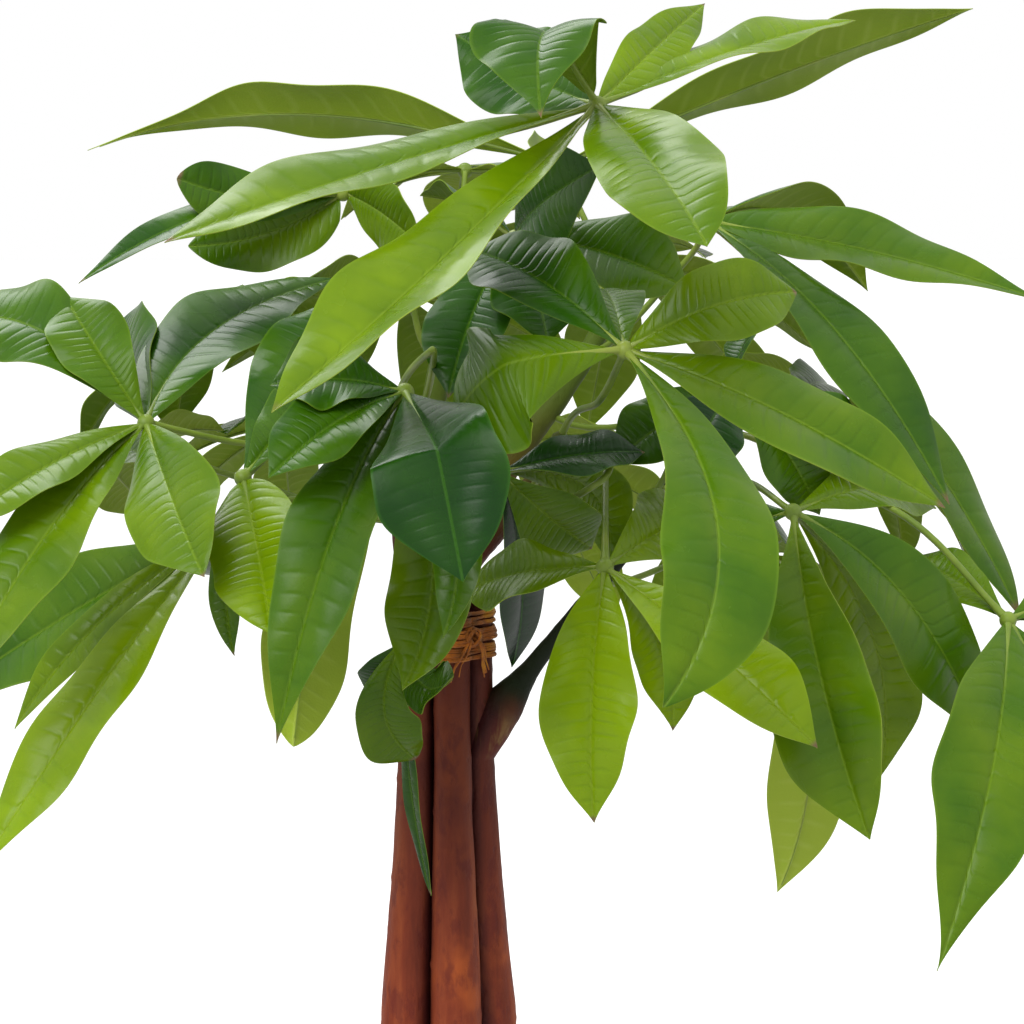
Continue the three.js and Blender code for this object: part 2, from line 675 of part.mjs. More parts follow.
// the knot and its two loose ends, which hang down over the band
function knotPieces() {
  const middle = (TIE.bottom + TIE.top) / 2;
  const facing = radians(KNOT.angle);
  const reach = trunkAt(middle, 'ring') + trunkAt(middle, 'stem') + TIE.band + TIE.strand;
  const outward = at(Math.cos(facing), Math.sin(facing), 0);
  const sideways = at(-Math.sin(facing), Math.cos(facing), 0);
  const centre = outward.clone().multiplyScalar(reach).setZ(middle);
  const knot = new THREE.IcosahedronGeometry(KNOT.radius, 1);
  knot.scale(KNOT.squash, KNOT.squash, 1);
  knot.translate(centre.x, centre.y, centre.z);
  const ends = [-1, 1].map((hand) => {
    const spread = KNOT.endSpread * hand;
    const bend = centre.clone().addScaledVector(outward, KNOT.endBow).addScaledVector(sideways, spread);
    const tip = bend.clone().addScaledVector(sideways, spread);
    tip.z -= KNOT.endLength;
    const curve = new THREE.QuadraticBezierCurve3(centre, bend, tip);
    const points = curve.getPoints(KNOT.endSteps);
    return tube(points, points.map(() => KNOT.endRadius), KNOT.endSides);
  });
  return [knot, ...ends];
}

function tie() {
  return part('tie', joined([tieBand(), ...knotPieces()]), 'tie');
}

// ---------------------------------------------------------------- leaves

// A leaf's stalk leaves its shoot square to it, or goes on straight from its tip, and passes through the
// given places, the last of them the knob. arriving, if given, is its direction there.
function stalkPath(leaf, through, arriving) {
  const curve = shootCurve(leaf.shoot);
  const centre = curve.getPoint(leaf.at);
  const along = curve.getTangent(leaf.at);
  const atTip = leaf.at === 1;
  const leaving = atTip ? along : squareTo(along, through[0].clone().sub(centre));
  const clear = (atTip ? 0 : shootRadius(leaf.shoot, leaf.at)) + STALK.clear;
  const places = [centre.addScaledVector(leaving, clear), ...through];
  const last = places.length - 1;
  const before = places[1].clone();
  before.addScaledVector(leaving, -STALK.leave * places[1].distanceTo(places[0]));
  const after = places[last - 1].clone();
  if (arriving) after.addScaledVector(arriving, STALK.arrive * places[last].distanceTo(places[last - 1]));
  else after.multiplyScalar(-1).addScaledVector(places[last], 2);
  const steps = through.length > 1 ? STALK.stepsBetweenPlaces : STALK.stepsOfPlainArc;
  return { points: smoothThrough([before, ...places, after], steps), leaving };
}

// points on a Catmull-Rom curve from the second to the last but one of the given places
function smoothThrough(places, steps) {
  const points = [];
  for (let i = 1; i < places.length - 2; i++) {
    const [a, b, c, d] = places.slice(i - 1, i + 3);
    const slope = c.clone().sub(a);
    const square = a.clone().multiplyScalar(2).addScaledVector(b, -5).addScaledVector(c, 4).sub(d);
    const cube = b.clone().multiplyScalar(3).sub(a).addScaledVector(c, -3).add(d);
    for (let k = 0; k < steps; k++) {
      const t = k / steps;
      const point = b.clone().multiplyScalar(2).addScaledVector(slope, t);
      point.addScaledVector(square, t * t).addScaledVector(cube, t * t * t);
      points.push(point.multiplyScalar(0.5));
    }
  }
  points.push(places[places.length - 2].clone());
  return points;
}

// share of the half width at s: narrow at the root, widest near the middle, drawn out to a tip
function outline({ rise, fall }, s) {
  const widest = rise / (rise + fall);
  return (s / widest) ** rise * ((1 - s) / (1 - widest)) ** fall;
}

// what a blade has apart from its place: its own values, or the ones that most blades share
function bladeForm(row) {
  const { slant, curl, rise, fall } = BLADE;
  return { slant, curl, rise, fall, fold: 0, ...row };
}

// a blade: its midrib's ends and bend, its face direction and its form
function bladeFromView(knob, row) {
  const tip = place(row.tip);
  const along = tip.clone().sub(knob).normalize();
  const toViewer = squareTo(along, at(0, -1, 0));
  const sideways = along.clone().cross(toViewer);
  const turn = radians(row.turn);
  const face = toViewer.multiplyScalar(Math.cos(turn)).addScaledVector(sideways, Math.sin(turn));
  const middle = knob.clone().add(tip).multiplyScalar(0.5);
  const bend = row.via
    ? place(row.via).multiplyScalar(2).sub(middle)
    : middle.addScaledVector(face, 2 * row.arch * knob.distanceTo(tip));
  return { ...bladeForm(row), knob, tip, bend, face };
}

function midrib(blade, s) {
  const { knob, bend, tip, fold } = blade;
  const arc = new THREE.QuadraticBezierCurve3(knob, bend, tip);
  const crest = arc.getPoint(0.5);
  const straight = s < 0.5 ? knob.clone().lerp(crest, 2 * s) : crest.lerp(tip, 2 * s - 1);
  return arc.getPoint(s).lerp(straight, fold);
}

// a point of the blade: s runs from root to tip, t from one edge (-1) over the midrib (0) to the other (1)
function bladePoint(blade, s, t, lift) {
  const step = 0.02;
  const along = midrib(blade, s + step).sub(midrib(blade, s - step)).normalize();
  const chord = blade.tip.clone().sub(blade.knob).normalize();
  const side = squareTo(along, chord.cross(blade.face));
  const face = side.clone().cross(along);
  const reach = (blade.width / 2) * outline(blade, s) + BLADE.root;
  const slant = radians(blade.slant);
  const rise = reach * (Math.abs(t) * Math.sin(slant) - blade.curl * t * t);
  return midrib(blade, s)
    .addScaledVector(side, reach * t * Math.cos(slant))
    .addScaledVector(face, rise + lift);
}

// where along a blade its sections are
function stationsOf(blade) {
  if (blade.fold > 0) return BLADE.foldedStations;
  return blade.fall < BLADE.bluntBelow ? BLADE.bluntStations : BLADE.stations;
}

// Both faces of a blade are split into the same triangles, so that it keeps its thickness where it bends.
function bladeGeometry(blade) {
  const half = BLADE.thickness / 2;
  const corners = [
    [-1, half],
    [0, half],
    [1, half],
    [1, -half],
    [0, -half],
    [-1, -half],
  ];
  const start = 0.01;
  const rootAt = (start * BLADE.sunk * STALK.knob) / midrib(blade, start).distanceTo(blade.knob);
  const stations = [rootAt, ...stationsOf(blade)];
  const points = stations.flatMap((s) => corners.map(([t, lift]) => bladePoint(blade, s, t, lift)));
  const size = corners.length;
  const faces = skin(stations.length, size, (k) => k === 1 || k === 4);
  faces.push(0, 5, 1, 1, 5, 4, 1, 4, 2, 2, 4, 3);
  const tip = points.length;
  points.push(midrib(blade, 1));
  for (let k = 0; k < size; k++) faces.push(tip - size + k, tip - size + ((k + 1) % size), tip);
  return geometryFrom(points, faces);
}

function leafPart(leaf, knob, blades, through, arriving) {
  const { points, leaving } = stalkPath(leaf, through, arriving);
  const radii = points.map((_, i) => (i === 0 ? STALK.footRadius : STALK.radius));
  const ball = new THREE.IcosahedronGeometry(STALK.knob, 0);
  ball.translate(knob.x, knob.y, knob.z);
  const stalk = tube(points, radii, STALK.sides, leaving);
  return part(leaf.name, joined([stalk, ball, ...blades.map(bladeGeometry)]), leaf.tone);
}

function frontLeaf(leaf) {
  const knob = place(leaf.hub);
  const blades = leaf.blades.map((row) => bladeFromView(knob, row));
  return leafPart(leaf, knob, blades, [...leaf.stalk.map(place), knob], null);
}

function backLeaf(leaf) {
  const azimuth = radians(leaf.azimuth);
  const tilt = radians(leaf.tilt);
  const droop = radians(FAN.droop);
  const outward = at(Math.cos(azimuth), Math.sin(azimuth), 0);
  const knob = at(FAN.middleX, 0, leaf.height).addScaledVector(outward, leaf.reach);
  const face = outward.clone().multiplyScalar(Math.sin(tilt)).addScaledVector(UP, Math.cos(tilt));
  const forward = outward.clone().multiplyScalar(Math.cos(tilt)).addScaledVector(UP, -Math.sin(tilt));
  const sideways = face.clone().cross(forward);
  const blades = [];
  for (let i = 0; i < leaf.count; i++) {
    const share = (2 * i) / (leaf.count - 1) - 1; // -1 and 1 are the two outermost blades
    const angle = radians(FAN.halfSpread) * share;
    const length = leaf.length * THREE.MathUtils.lerp(1, FAN.sideLength, Math.abs(share));
    const width = leaf.width * THREE.MathUtils.lerp(1, FAN.sideWidth, Math.abs(share));
    const heading = forward.clone().multiplyScalar(Math.cos(angle));
    heading.addScaledVector(sideways, Math.sin(angle));
    const chord = heading.multiplyScalar(Math.cos(droop)).addScaledVector(face, -Math.sin(droop));
    const tip = knob.clone().addScaledVector(chord, length);
    const bladeFace = squareTo(chord, face);
    const middle = knob.clone().add(tip).multiplyScalar(0.5);
    const bend = middle.addScaledVector(bladeFace, 2 * FAN.arch * length);
    blades.push({ ...bladeForm({ width }), knob, tip, bend, face: bladeFace });
  }
  return leafPart(leaf, knob, blades, [knob], forward);
}

// ---------------------------------------------------------------- the whole plant

const tree = new THREE.Group();
tree.add(pot(), soil(), tie());
for (const name of Object.keys(STEM_ANGLES)) tree.add(stem(name));
for (const leaf of FRONT_LEAVES) tree.add(frontLeaf(leaf));
for (const leaf of BACK_LEAVES) tree.add(backLeaf(leaf));

export default tree;
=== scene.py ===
"""The looks of a potted money tree: five tied stems in a clay pot, under a crown of fanned, glossy leaves.

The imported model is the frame. Its leaves, stems, tie, soil and pot are replaced here by finer pieces of the
same form in the same places. Lengths are in millimetres until a mesh is made, and then in metres. +Z is up
and +Y is to the back, as in the frame.
"""

import math
import random

import bmesh
import bpy
import numpy as np
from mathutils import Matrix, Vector, noise


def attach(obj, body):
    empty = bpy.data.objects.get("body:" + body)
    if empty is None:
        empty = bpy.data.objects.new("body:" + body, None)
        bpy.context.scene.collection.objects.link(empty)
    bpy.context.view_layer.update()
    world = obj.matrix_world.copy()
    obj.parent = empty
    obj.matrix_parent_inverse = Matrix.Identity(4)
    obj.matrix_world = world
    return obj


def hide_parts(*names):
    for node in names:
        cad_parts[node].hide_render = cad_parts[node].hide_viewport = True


MM = 0.001

# ---------------------------------------------------------------- sizes that the frame's solids share

# A place is read off a front view as (across, down, depth): the first two in steps of the view, the last
# in millimetres, negative towards the viewer. The view looks along +Y and slightly down.
VIEW_SIZE = 1024  # steps along each side
VIEW_STEP = 0.5  # millimetres per step in the plane of the trunk
VIEW_DISTANCE = 1250
VIEW_PITCH = math.radians(8)
VIEW_AIM = np.array([34.5, 0.0, 669.0])
FILM_WIDTH = 36

POT_HEIGHT = 185
POT_FOOT = 73
POT_MOUTH = 99
POT_RIM = 107
POT_RIM_HEIGHT = 28
POT_WALL = 7
POT_FLOOR = 9

SOIL_TOP = 168
SOIL_MOUND = 5
SOIL_GAP = 0.3  # between the soil and the pot

STEM_ANGLES = {"front": -74, "right": -2, "back_right": 70, "back_left": 142, "left": -146}
# by height: radius of the ring through the stem centres, and radius of each stem
TRUNK = [
    (148, 30.5, 15.5),
    (168, 31.5, 16.6),
    (186, 31.0, 16.4),
    (215, 29.0, 15.2),
    (260, 26.4, 13.8),
    (320, 24.6, 13.5),
    (413, 22.9, 13.1),
    (480, 18.8, 10.9),
    (520, 17.0, 9.8),
    (560, 16.0, 9.2),
    (590, 15.7, 9.0),
    (625, 15.4, 8.9),
]
STRAIGHT_ABOVE = 413
FORKED_STEM = "right"  # its shoot forks off below the tie, and its cut top stays in the tie
FORK_HEIGHT = 546
FORK_LEAN = math.radians(20)
# by share of its length: the radius of the shoot that forks off, which is a knob at first and then slim
FORK_RADII = [(0, 9.6), (0.08, 11.0), (0.16, 10.6), (0.23, 7.2), (0.29, 4.8), (0.4, 4.1), (1, 3.8)]
# by share of its length: how much of the knob's worn bark, and of the slim shoot's green with painted shade,
# shows
KNOB_BARK = ([0, 0.04, 0.11, 0.17], [0, 1, 1, 0])
SHADED_GREEN_BARK = ([0.12, 0.22], [0, 1])
CUT_TOP = 634
TWIST = math.radians(140)
SHOOT_TIP_RADIUS = 4.5
SHOOT_REACH = 0.45
SHOOT_RISE = 0.7
SHOOT_SPLAY = 6
SHOOT_PULL = 0.5
SHOOT_LIFT = 0.35

TIE_BOTTOM = 596
TIE_TOP = 622
TIE_TURNS = 3
TIE_FIBRES = 7  # in each turn
KNOT_LOOPS = 9
LOOSE_ENDS = 5  # on each side of the knot
KNOT_ANGLE = math.radians(-52)
KNOT_WIDTHS = (2.4, 4.4)
KNOT_HEIGHTS = (3.2, 5.4)
LOOSE_SPREADS = (6, 13)
LOOSE_DROPS = (10, 22)
LOOP_POINTS = 22
LOOSE_POINTS = 14

STALK_RADIUS = 1.7
STALK_FOOT_RADIUS = 2.4
STALK_LEAVE = 1.5
STALK_ARRIVE = 1.2
KNOB_RADIUS = 4.0
KNOB_SIDES = 20
KNOB_RINGS = 14

BLADE_SLANT = 20  # degrees
BLADE_CURL = 0.22
BLADE_ROOT = 0.6
BLADE_RISE = 1.3
BLADE_FALL = 0.95

SHOOT_TIPS = {
    "back_left": (450, 260, 20),
    "left": (395, 430, -25),
    "front": (560, 440, -45),
    "right": (680, 450, -10),
    "back_right": (620, 280, 60),
}

# ---------------------------------------------------------------- the leaves

# The leaves that show from the front, blade by blade: where the knob and each tip lie, how wide the blade
# is, how far its face turns from facing the viewer, and either a place that its midrib passes halfway (via)
# or how high it arches, as a share of its length. fold sharpens the bend there. tone goes from the oldest,
# darkest green (0) to the youngest yellow-green (1). A blade may have its own slant, curl, rise and fall
# instead of the ones that most blades share.
FRONT_LEAVES = [
    dict(
        name="leaf_crown_front", slot="leaf_young", shoot="back_left", at=1.0,
        hub=(597, 105, -150), stalk=[(575, 185, -75)], blades=[
            dict(
                tip=(271, 412, -290), width=54, turn=48, via=(437, 263, -228), slant=28, curl=0.15,
                tone=0.8,
            ),
            dict(tip=(164, 242, -235), width=51, turn=64, via=(374, 169, -190), tone=0.75),
            dict(
                tip=(541, 118, -215), width=60, turn=75, via=(545, 31, -175), fold=0.2, rise=1.0,
                fall=1.1, tone=0.42,
            ),
            dict(tip=(455, 34, -95), width=48, turn=20, via=(525, 74, -115), rise=0.9, tone=0.25),
            dict(tip=(705, 3, -75), width=26, turn=-20, arch=0.02, rise=1.0, fall=1.0, tone=0.85),
            dict(tip=(856, 20, -90), width=42, turn=-66, via=(735, 50, -110), tone=0.8),
            dict(
                tip=(707, 246, -300), width=50, turn=-12, via=(655, 166, -245), rise=0.75, fall=0.75,
                tone=0.7,
            ),
        ],
    ),
    dict(
        name="leaf_crown_back", slot="leaf_olive", shoot="back_right", at=1.0,
        hub=(560, 165, 60), stalk=[(590, 230, 50)], blades=[
            dict(
                tip=(87, 150, 130), width=57, turn=122, via=(305, 113, 110), rise=1.6, fall=2.3,
                tone=0.75,
            ),
            dict(tip=(973, 8, 140), width=56, turn=-122, via=(784, 72, 115), rise=1.2, fall=1.1, tone=0.65),
            dict(tip=(700, 240, 235), width=50, turn=-115, arch=0.06, tone=0.5),
            dict(tip=(440, 225, 265), width=50, turn=115, arch=0.06, tone=0.5),
            dict(tip=(585, 160, 290), width=52, turn=170, arch=0.06, tone=0.5),
        ],
    ),
    dict(
        name="leaf_left_high", slot="leaf_deep", shoot="back_left", at=0.75,
        hub=(343, 193, -40), stalk=[(400, 226, -5)], blades=[
            dict(
                tip=(78, 283, -110), width=24, turn=60, via=(212, 212, -75), rise=1.0, fall=1.0,
                tone=0.25,
            ),
            dict(
                tip=(188, 246, -50), width=39, turn=10, via=(270, 232, -45), rise=0.35, fall=0.6,
                tone=0.6,
            ),
            dict(tip=(177, 178, -80), width=29, turn=20, via=(262, 199, -60), fall=0.45, tone=0.4),
            dict(tip=(420, 246, -70), width=36, turn=30, via=(380, 212, -55), tone=0.7),
        ],
    ),
    dict(
        name="leaf_left_front", slot="leaf_young", shoot="left", at=0.95,
        hub=(146, 423, -120), stalk=[(260, 445, -80)], blades=[
            dict(tip=(-50, 325, -70), width=54, turn=45, via=(40, 330, -95), fall=0.8, tone=0.5),
            dict(tip=(65, 297, -80), width=38, turn=25, via=(102, 357, -110), fall=0.8, tone=0.6),
            dict(tip=(338, 278, 0), width=51, turn=-40, via=(214, 330, -50), rise=0.9, tone=0.35),
            dict(tip=(-45, 528, -190), width=34, turn=45, via=(50, 464, -160), tone=0.7),
            dict(tip=(-45, 690, -215), width=40, turn=30, via=(52, 525, -175), tone=0.72),
            dict(tip=(204, 577, -215), width=47, turn=5, via=(172, 500, -180), rise=0.9, tone=0.68),
            dict(
                tip=(118, 324, -10), width=46, turn=-20, via=(133, 364, -55), rise=0.9, fall=0.5,
                tone=0.35,
            ),
        ],
    ),
    dict(
        name="leaf_left_low", slot="leaf_young", shoot="left", at=0.6,
        hub=(215, 535, -95), stalk=[(290, 500, -60)], blades=[
            dict(tip=(-60, 700, -60), width=54, turn=35, via=(85, 604, -75), tone=0.55),
            dict(tip=(-22, 872, -180), width=38, turn=40, via=(98, 690, -150), tone=0.95),
            dict(tip=(14, 729, -105), width=20, turn=40, arch=0.1, tone=0.8),
            dict(tip=(130, 570, 40), width=40, turn=60, arch=0.05, tone=0.5),
            dict(tip=(262, 560, 30), width=34, turn=20, arch=0.1, tone=0.5),
        ],
    ),
    dict(
        name="leaf_left_inner", slot="leaf_young", shoot="left", at=0.8,
        hub=(243, 478, -140), stalk=[(300, 440, -110)], blades=[
            dict(
                tip=(271, 633, -205), width=46, turn=5, via=(258, 552, -180), rise=0.45, fall=0.6,
                tone=0.9,
            ),
            dict(tip=(234, 656, -140), width=16, turn=15, via=(226, 570, -135), tone=0.6),
            dict(tip=(330, 300, -40), width=44, turn=-20, via=(291, 378, -90), tone=0.35),
            dict(tip=(340, 392, -80), width=36, turn=-40, arch=0.1, tone=0.45),
        ],
    ),
    dict(
        name="leaf_centre_left", slot="leaf_mid", shoot="left", at=1.0,
        hub=(405, 392, -170), stalk=[(432, 350, -120), (425, 400, -60)], blades=[
            dict(tip=(270, 385, -185), width=46, turn=50, arch=0.1, tone=0.3),
            dict(
                tip=(276, 744, -235), width=42, turn=25, via=(333, 532, -215), rise=1.1, fall=1.1,
                tone=0.45,
            ),
            dict(tip=(268, 478, -220), width=40, turn=40, arch=0.1, tone=0.3),
            dict(tip=(463, 582, -290), width=58, turn=0, via=(437, 450, -270), fold=0.85, tone=0.05),
            dict(tip=(443, 638, -215), width=24, turn=10, via=(455, 515, -200), tone=0.5),
            dict(tip=(402, 690, -190), width=40, turn=5, via=(433, 562, -170), tone=0.75),
            dict(tip=(293, 747, -190), width=44, turn=155, via=(324, 594, -150), fall=0.7, tone=0.85),
        ],
    ),
    dict(
        name="leaf_centre", slot="leaf_mid", shoot="front", at=1.0,
        hub=(625, 350, -200), stalk=[(600, 400, -130)], blades=[
            dict(tip=(470, 250, -150), width=50, turn=40, arch=0.1, tone=0.3),
            dict(
                tip=(797, 292, -190), width=40, turn=-35, via=(713, 306, -205), rise=0.95, fall=0.75,
                tone=0.8,
            ),
            dict(tip=(946, 508, -225), width=47, turn=-48, via=(775, 409, -225), tone=0.7),
            dict(
                tip=(663, 708, -330), width=48, turn=-12, via=(717, 525, -290), rise=1.1, fall=0.8,
                tone=0.6,
            ),
            dict(
                tip=(452, 424, -205), width=66, turn=35, via=(505, 364, -220), fold=0.35, slant=-15,
                curl=0.1, fall=0.8, tone=0.65,
            ),
            dict(tip=(600, 290, -120), width=30, turn=20, arch=0.1, tone=0.55),
        ],
    ),
    dict(
        name="leaf_centre_low", slot="leaf_young", shoot="front", at=0.6,
        hub=(605, 567, -150), stalk=[(602, 480, -120), (605, 450, -70)], blades=[
            dict(tip=(468, 590, -120), width=40, turn=55, arch=0.08, fall=0.7, tone=0.75),
            dict(
                tip=(594, 823, -200), width=47, turn=20, via=(592, 692, -185), slant=28, curl=0.15,
                rise=0.95, tone=1.0,
            ),
            dict(tip=(673, 731, -165), width=30, turn=-15, via=(658, 640, -160), tone=1.0),
            dict(tip=(692, 520, -60), width=42, turn=-35, arch=0.1, tone=0.9),
            dict(tip=(818, 748, -235), width=42, turn=-40, via=(713, 648, -205), tone=1.0),
        ],
    ),
    dict(
        name="leaf_right_low", slot="leaf_deep", shoot="right", at=0.9,
        hub=(793, 512, -125), stalk=[(740, 480, -70)], blades=[
            dict(
                tip=(870, 840, -215), width=55, turn=22, via=(820, 672, -185), slant=28, curl=0.15,
                fall=0.9, tone=0.7,
            ),
            dict(tip=(777, 892, -150), width=38, turn=165, via=(813, 733, -145), tone=1.0),
            dict(tip=(985, 748, -120), width=52, turn=-42, via=(906, 598, -130), tone=0.5),
            dict(tip=(880, 778, -70), width=42, turn=-20, via=(874, 640, -80), tone=0.9),
            dict(tip=(930, 500, -30), width=40, turn=-60, arch=0.1, tone=0.7),
            dict(tip=(700, 560, -40), width=40, turn=60, arch=0.1, tone=0.35),
        ],
    ),
    dict(
        name="leaf_right_edge", slot="leaf_mid", shoot="right", at=1.0,
        hub=(1008, 620, -120), stalk=[(885, 505, -95)], blades=[
            dict(
                tip=(937, 972, -225), width=53, turn=0, via=(991, 776, -190), rise=1.0, fall=1.35,
                tone=0.6,
            ),
            dict(tip=(1120, 860, -165), width=50, turn=-20, arch=0.1, tone=0.5),
            dict(tip=(1125, 590, -60), width=44, turn=-50, arch=0.1, tone=0.5),
            dict(tip=(1110, 640, 40), width=44, turn=-60, arch=0.1, tone=0.5),
            dict(tip=(905, 560, -60), width=30, turn=40, arch=0.1, tone=0.6),
        ],
    ),
    dict(
        name="leaf_right_high", slot="leaf_deep", shoot="back_right", at=0.8,
        hub=(708, 222, 10), stalk=[(685, 262, 30)], blades=[
            dict(
                tip=(1050, 303, -40), width=52, turn=-52, via=(872, 251, -10), rise=0.7, fall=1.3,
                tone=0.55,
            ),
            dict(tip=(950, 505, -95), width=43, turn=-40, via=(833, 327, -55), tone=0.45),
            dict(tip=(1019, 615, -60), width=40, turn=-50, via=(886, 398, -20), fall=0.7, tone=0.55),
            dict(tip=(868, 291, 120), width=54, turn=-120, via=(790, 214, 80), rise=0.7, tone=0.5),
            dict(tip=(640, 215, 120), width=40, turn=120, arch=0.05, tone=0.4),
        ],
    ),
    dict(
        name="leaf_inner_top", slot="leaf_deep", shoot="back_left", at=0.86,
        hub=(515, 238, -50), stalk=[(490, 255, -25)], blades=[
            dict(tip=(548, 345, -110), width=46, turn=-20, arch=0.1, tone=0.3),
            dict(tip=(448, 398, -105), width=44, turn=30, arch=0.1, tone=0.25),
            dict(tip=(690, 290, -80), width=50, turn=-40, arch=0.1, tone=0.5),
            dict(tip=(602, 165, -130), width=46, turn=-30, arch=0.1, tone=0.25),
            dict(tip=(420, 195, -30), width=40, turn=90, arch=0.1, tone=0.3),
        ],
    ),
    dict(
        name="leaf_inner_right", slot="leaf_deep", shoot="right", at=0.75,
        hub=(735, 385, -90), stalk=[(700, 420, -50)], blades=[
            dict(tip=(880, 462, -90), width=40, turn=-50, arch=0.06, tone=0.3),
            dict(tip=(820, 515, -92), width=35, turn=-30, arch=0.08, tone=0.5),
            dict(tip=(775, 300, -60), width=36, turn=-80, arch=0.1, tone=0.25),
            dict(tip=(680, 480, -130), width=40, turn=20, arch=0.1, tone=0.15),
            dict(tip=(612, 464, -100), width=38, turn=40, arch=0.08, tone=0.45),
        ],
    ),
    dict(
        name="leaf_inner_centre", slot="leaf_mid", shoot="front", at=0.8,
        hub=(500, 472, -120), stalk=[(545, 462, -80)], blades=[
            dict(tip=(592, 549, -95), width=40, turn=10, arch=0.08, tone=0.75),
            dict(tip=(512, 668, -10), width=28, turn=-30, via=(522, 572, -70), tone=0.0),
            dict(tip=(645, 452, -110), width=40, turn=-70, arch=0.05, tone=0.1),
            dict(tip=(608, 565, -50), width=34, turn=-20, via=(590, 490, -55), tone=0.8),
        ],
    ),
    dict(
        name="leaf_lower_left", slot="leaf_mid", shoot="left", at=0.35,
        hub=(404, 640, -85), stalk=[(396, 590, -60)], blades=[
            dict(tip=(416, 759, -75), width=34, turn=10, via=(384, 710, -85), rise=1.0, fall=0.5, tone=0.65),
            dict(tip=(453, 676, -100), width=34, turn=-20, via=(424, 686, -90), fall=0.7, tone=0.4),
            dict(tip=(374, 700, -60), width=26, turn=10, arch=0.05, tone=0.3),
            dict(tip=(431, 896, -52), width=11, turn=50, via=(409, 772, -62), rise=1.0, fall=0.7, tone=0.3),
        ],
    ),
]

# The leaves of the back and the top, by a rule: each is an even fan of blades round its knob, which stands
# out from the crown's middle, and tilts outwards.
FAN_MIDDLE_X = 15
FAN_HALF_SPREAD = math.radians(122)
FAN_DROOP = math.radians(16)
FAN_ARCH = 0.1
FAN_SIDE_LENGTH = 0.58
FAN_SIDE_WIDTH = 0.7
BACK_LEAVES = [
    dict(
        name="leaf_back_1", slot="leaf_mid", shoot="back_right", at=0.6, tone=0.6,
        azimuth=14, reach=190, height=722, tilt=40, length=138, width=46, count=6,
    ),
    dict(
        name="leaf_back_2", slot="leaf_deep", shoot="back_right", at=0.9, tone=0.6,
        azimuth=62, reach=160, height=790, tilt=32, length=170, width=50, count=6,
    ),
    dict(
        name="leaf_back_3", slot="leaf_mid", shoot="back_left", at=0.9, tone=0.55,
        azimuth=105, reach=160, height=770, tilt=36, length=146, width=48, count=6,
    ),
    dict(
        name="leaf_back_4", slot="leaf_deep", shoot="back_left", at=0.6, tone=0.45,
        azimuth=151, reach=150, height=766, tilt=32, length=118, width=44, count=6,
    ),
    dict(
        name="leaf_back_5", slot="leaf_deep", shoot="right", at=0.6, tone=0.4,
        azimuth=36, reach=195, height=630, tilt=48, length=145, width=48, count=6,
    ),
    dict(
        name="leaf_back_6", slot="leaf_mid", shoot="back_right", at=0.45, tone=0.7,
        azimuth=84, reach=165, height=680, tilt=42, length=155, width=48, count=6,
    ),
    dict(
        name="leaf_back_7", slot="leaf_deep", shoot="back_left", at=0.45, tone=0.55,
        azimuth=125, reach=185, height=698, tilt=30, length=132, width=46, count=6,
    ),
    dict(
        name="leaf_top_mid", slot="leaf_mid", shoot="back_left", at=0.96, tone=0.75,
        azimuth=95, reach=52, height=838, tilt=8, length=95, width=40, count=5,
    ),
    dict(
        name="leaf_back_8", slot="leaf_mid", shoot="left", at=0.5, tone=0.6,
        azimuth=172, reach=190, height=690, tilt=42, length=140, width=46, count=6,
    ),
]

# ---------------------------------------------------------------- detail that only the looks have

VEIN_PAIRS = 18
ROWS_PER_VEIN = 5
BLADE_COLUMNS = 16
VEIN_LEAN = 0.55  # how far a side vein runs forward, as a share of its distance from the midrib
QUILT = 0.27  # height of the blade between two side veins
RIB_GROOVE = 0.4
RIB_GROOVE_WIDTH = 0.9
BLADE_THICKNESS = 0.4
EDGE_WAVE = 0.1  # as a share of the half width
EDGE_UNEVEN = 0.03
VEIN_WANDER = 0.35  # in gaps between two side veins
VEIN_STAGGER = 0.25  # the veins of the two halves don't meet at the midrib
TIP_DRAW = 0.5
RIB_RADIUS = 1.5
RIB_TIP_RADIUS = 0.25

STEM_STEP = 3.0  # between the rings of a stem
SHOOT_STEPS = 48
STEM_FLUTES = 0.55
STEM_LUMPS = 0.45
STEM_GRAIN = 0.18
BARK_RELIEF = 1.5  # all that the bark may stand proud of a shoot
# the stems swell a little round this height, against slits that the twist would open between them
SLIT_HEIGHT = 262
SLIT_REACH = 62
SLIT_SWELLING = 1.0  # added to the radius, at most
STEM_NODES = 26  # between two leaf scars
SCAR_RISE = 0.5
SCAR_WIDTH = 1.3
SCAR_TURN = 2.4  # radians round the stem, from one scar to the next

POT_SIDES = 128
SOIL_SIDES = 96
SOIL_RINGS = 30
CRUMBS = 260
CRUMB_LEAST = 0.7
CRUMB_MORE = 2.6  # the largest is this much larger than the least
CRUMB_REACH = (0.35, 0.96)  # as shares of the soil's radius
POT_LEDGE = 1.5  # how much narrower the rim is at its lower edge
POT_BEVEL = 1.8

# sides of the round rods that make up stems, stalks with ribs, and fibres
STEM_SIDES = 40
STALK_SIDES = 10
STALK_POINTS = 14  # between two places that a stalk passes
FIBRE_SIDES = 8

# what lies under the skin of both faces of a leaf
LEAF_FLESH = dict(subsurface_weight=0.08, subsurface_radius=(0.35, 0.6, 0.08), subsurface_scale=0.002)

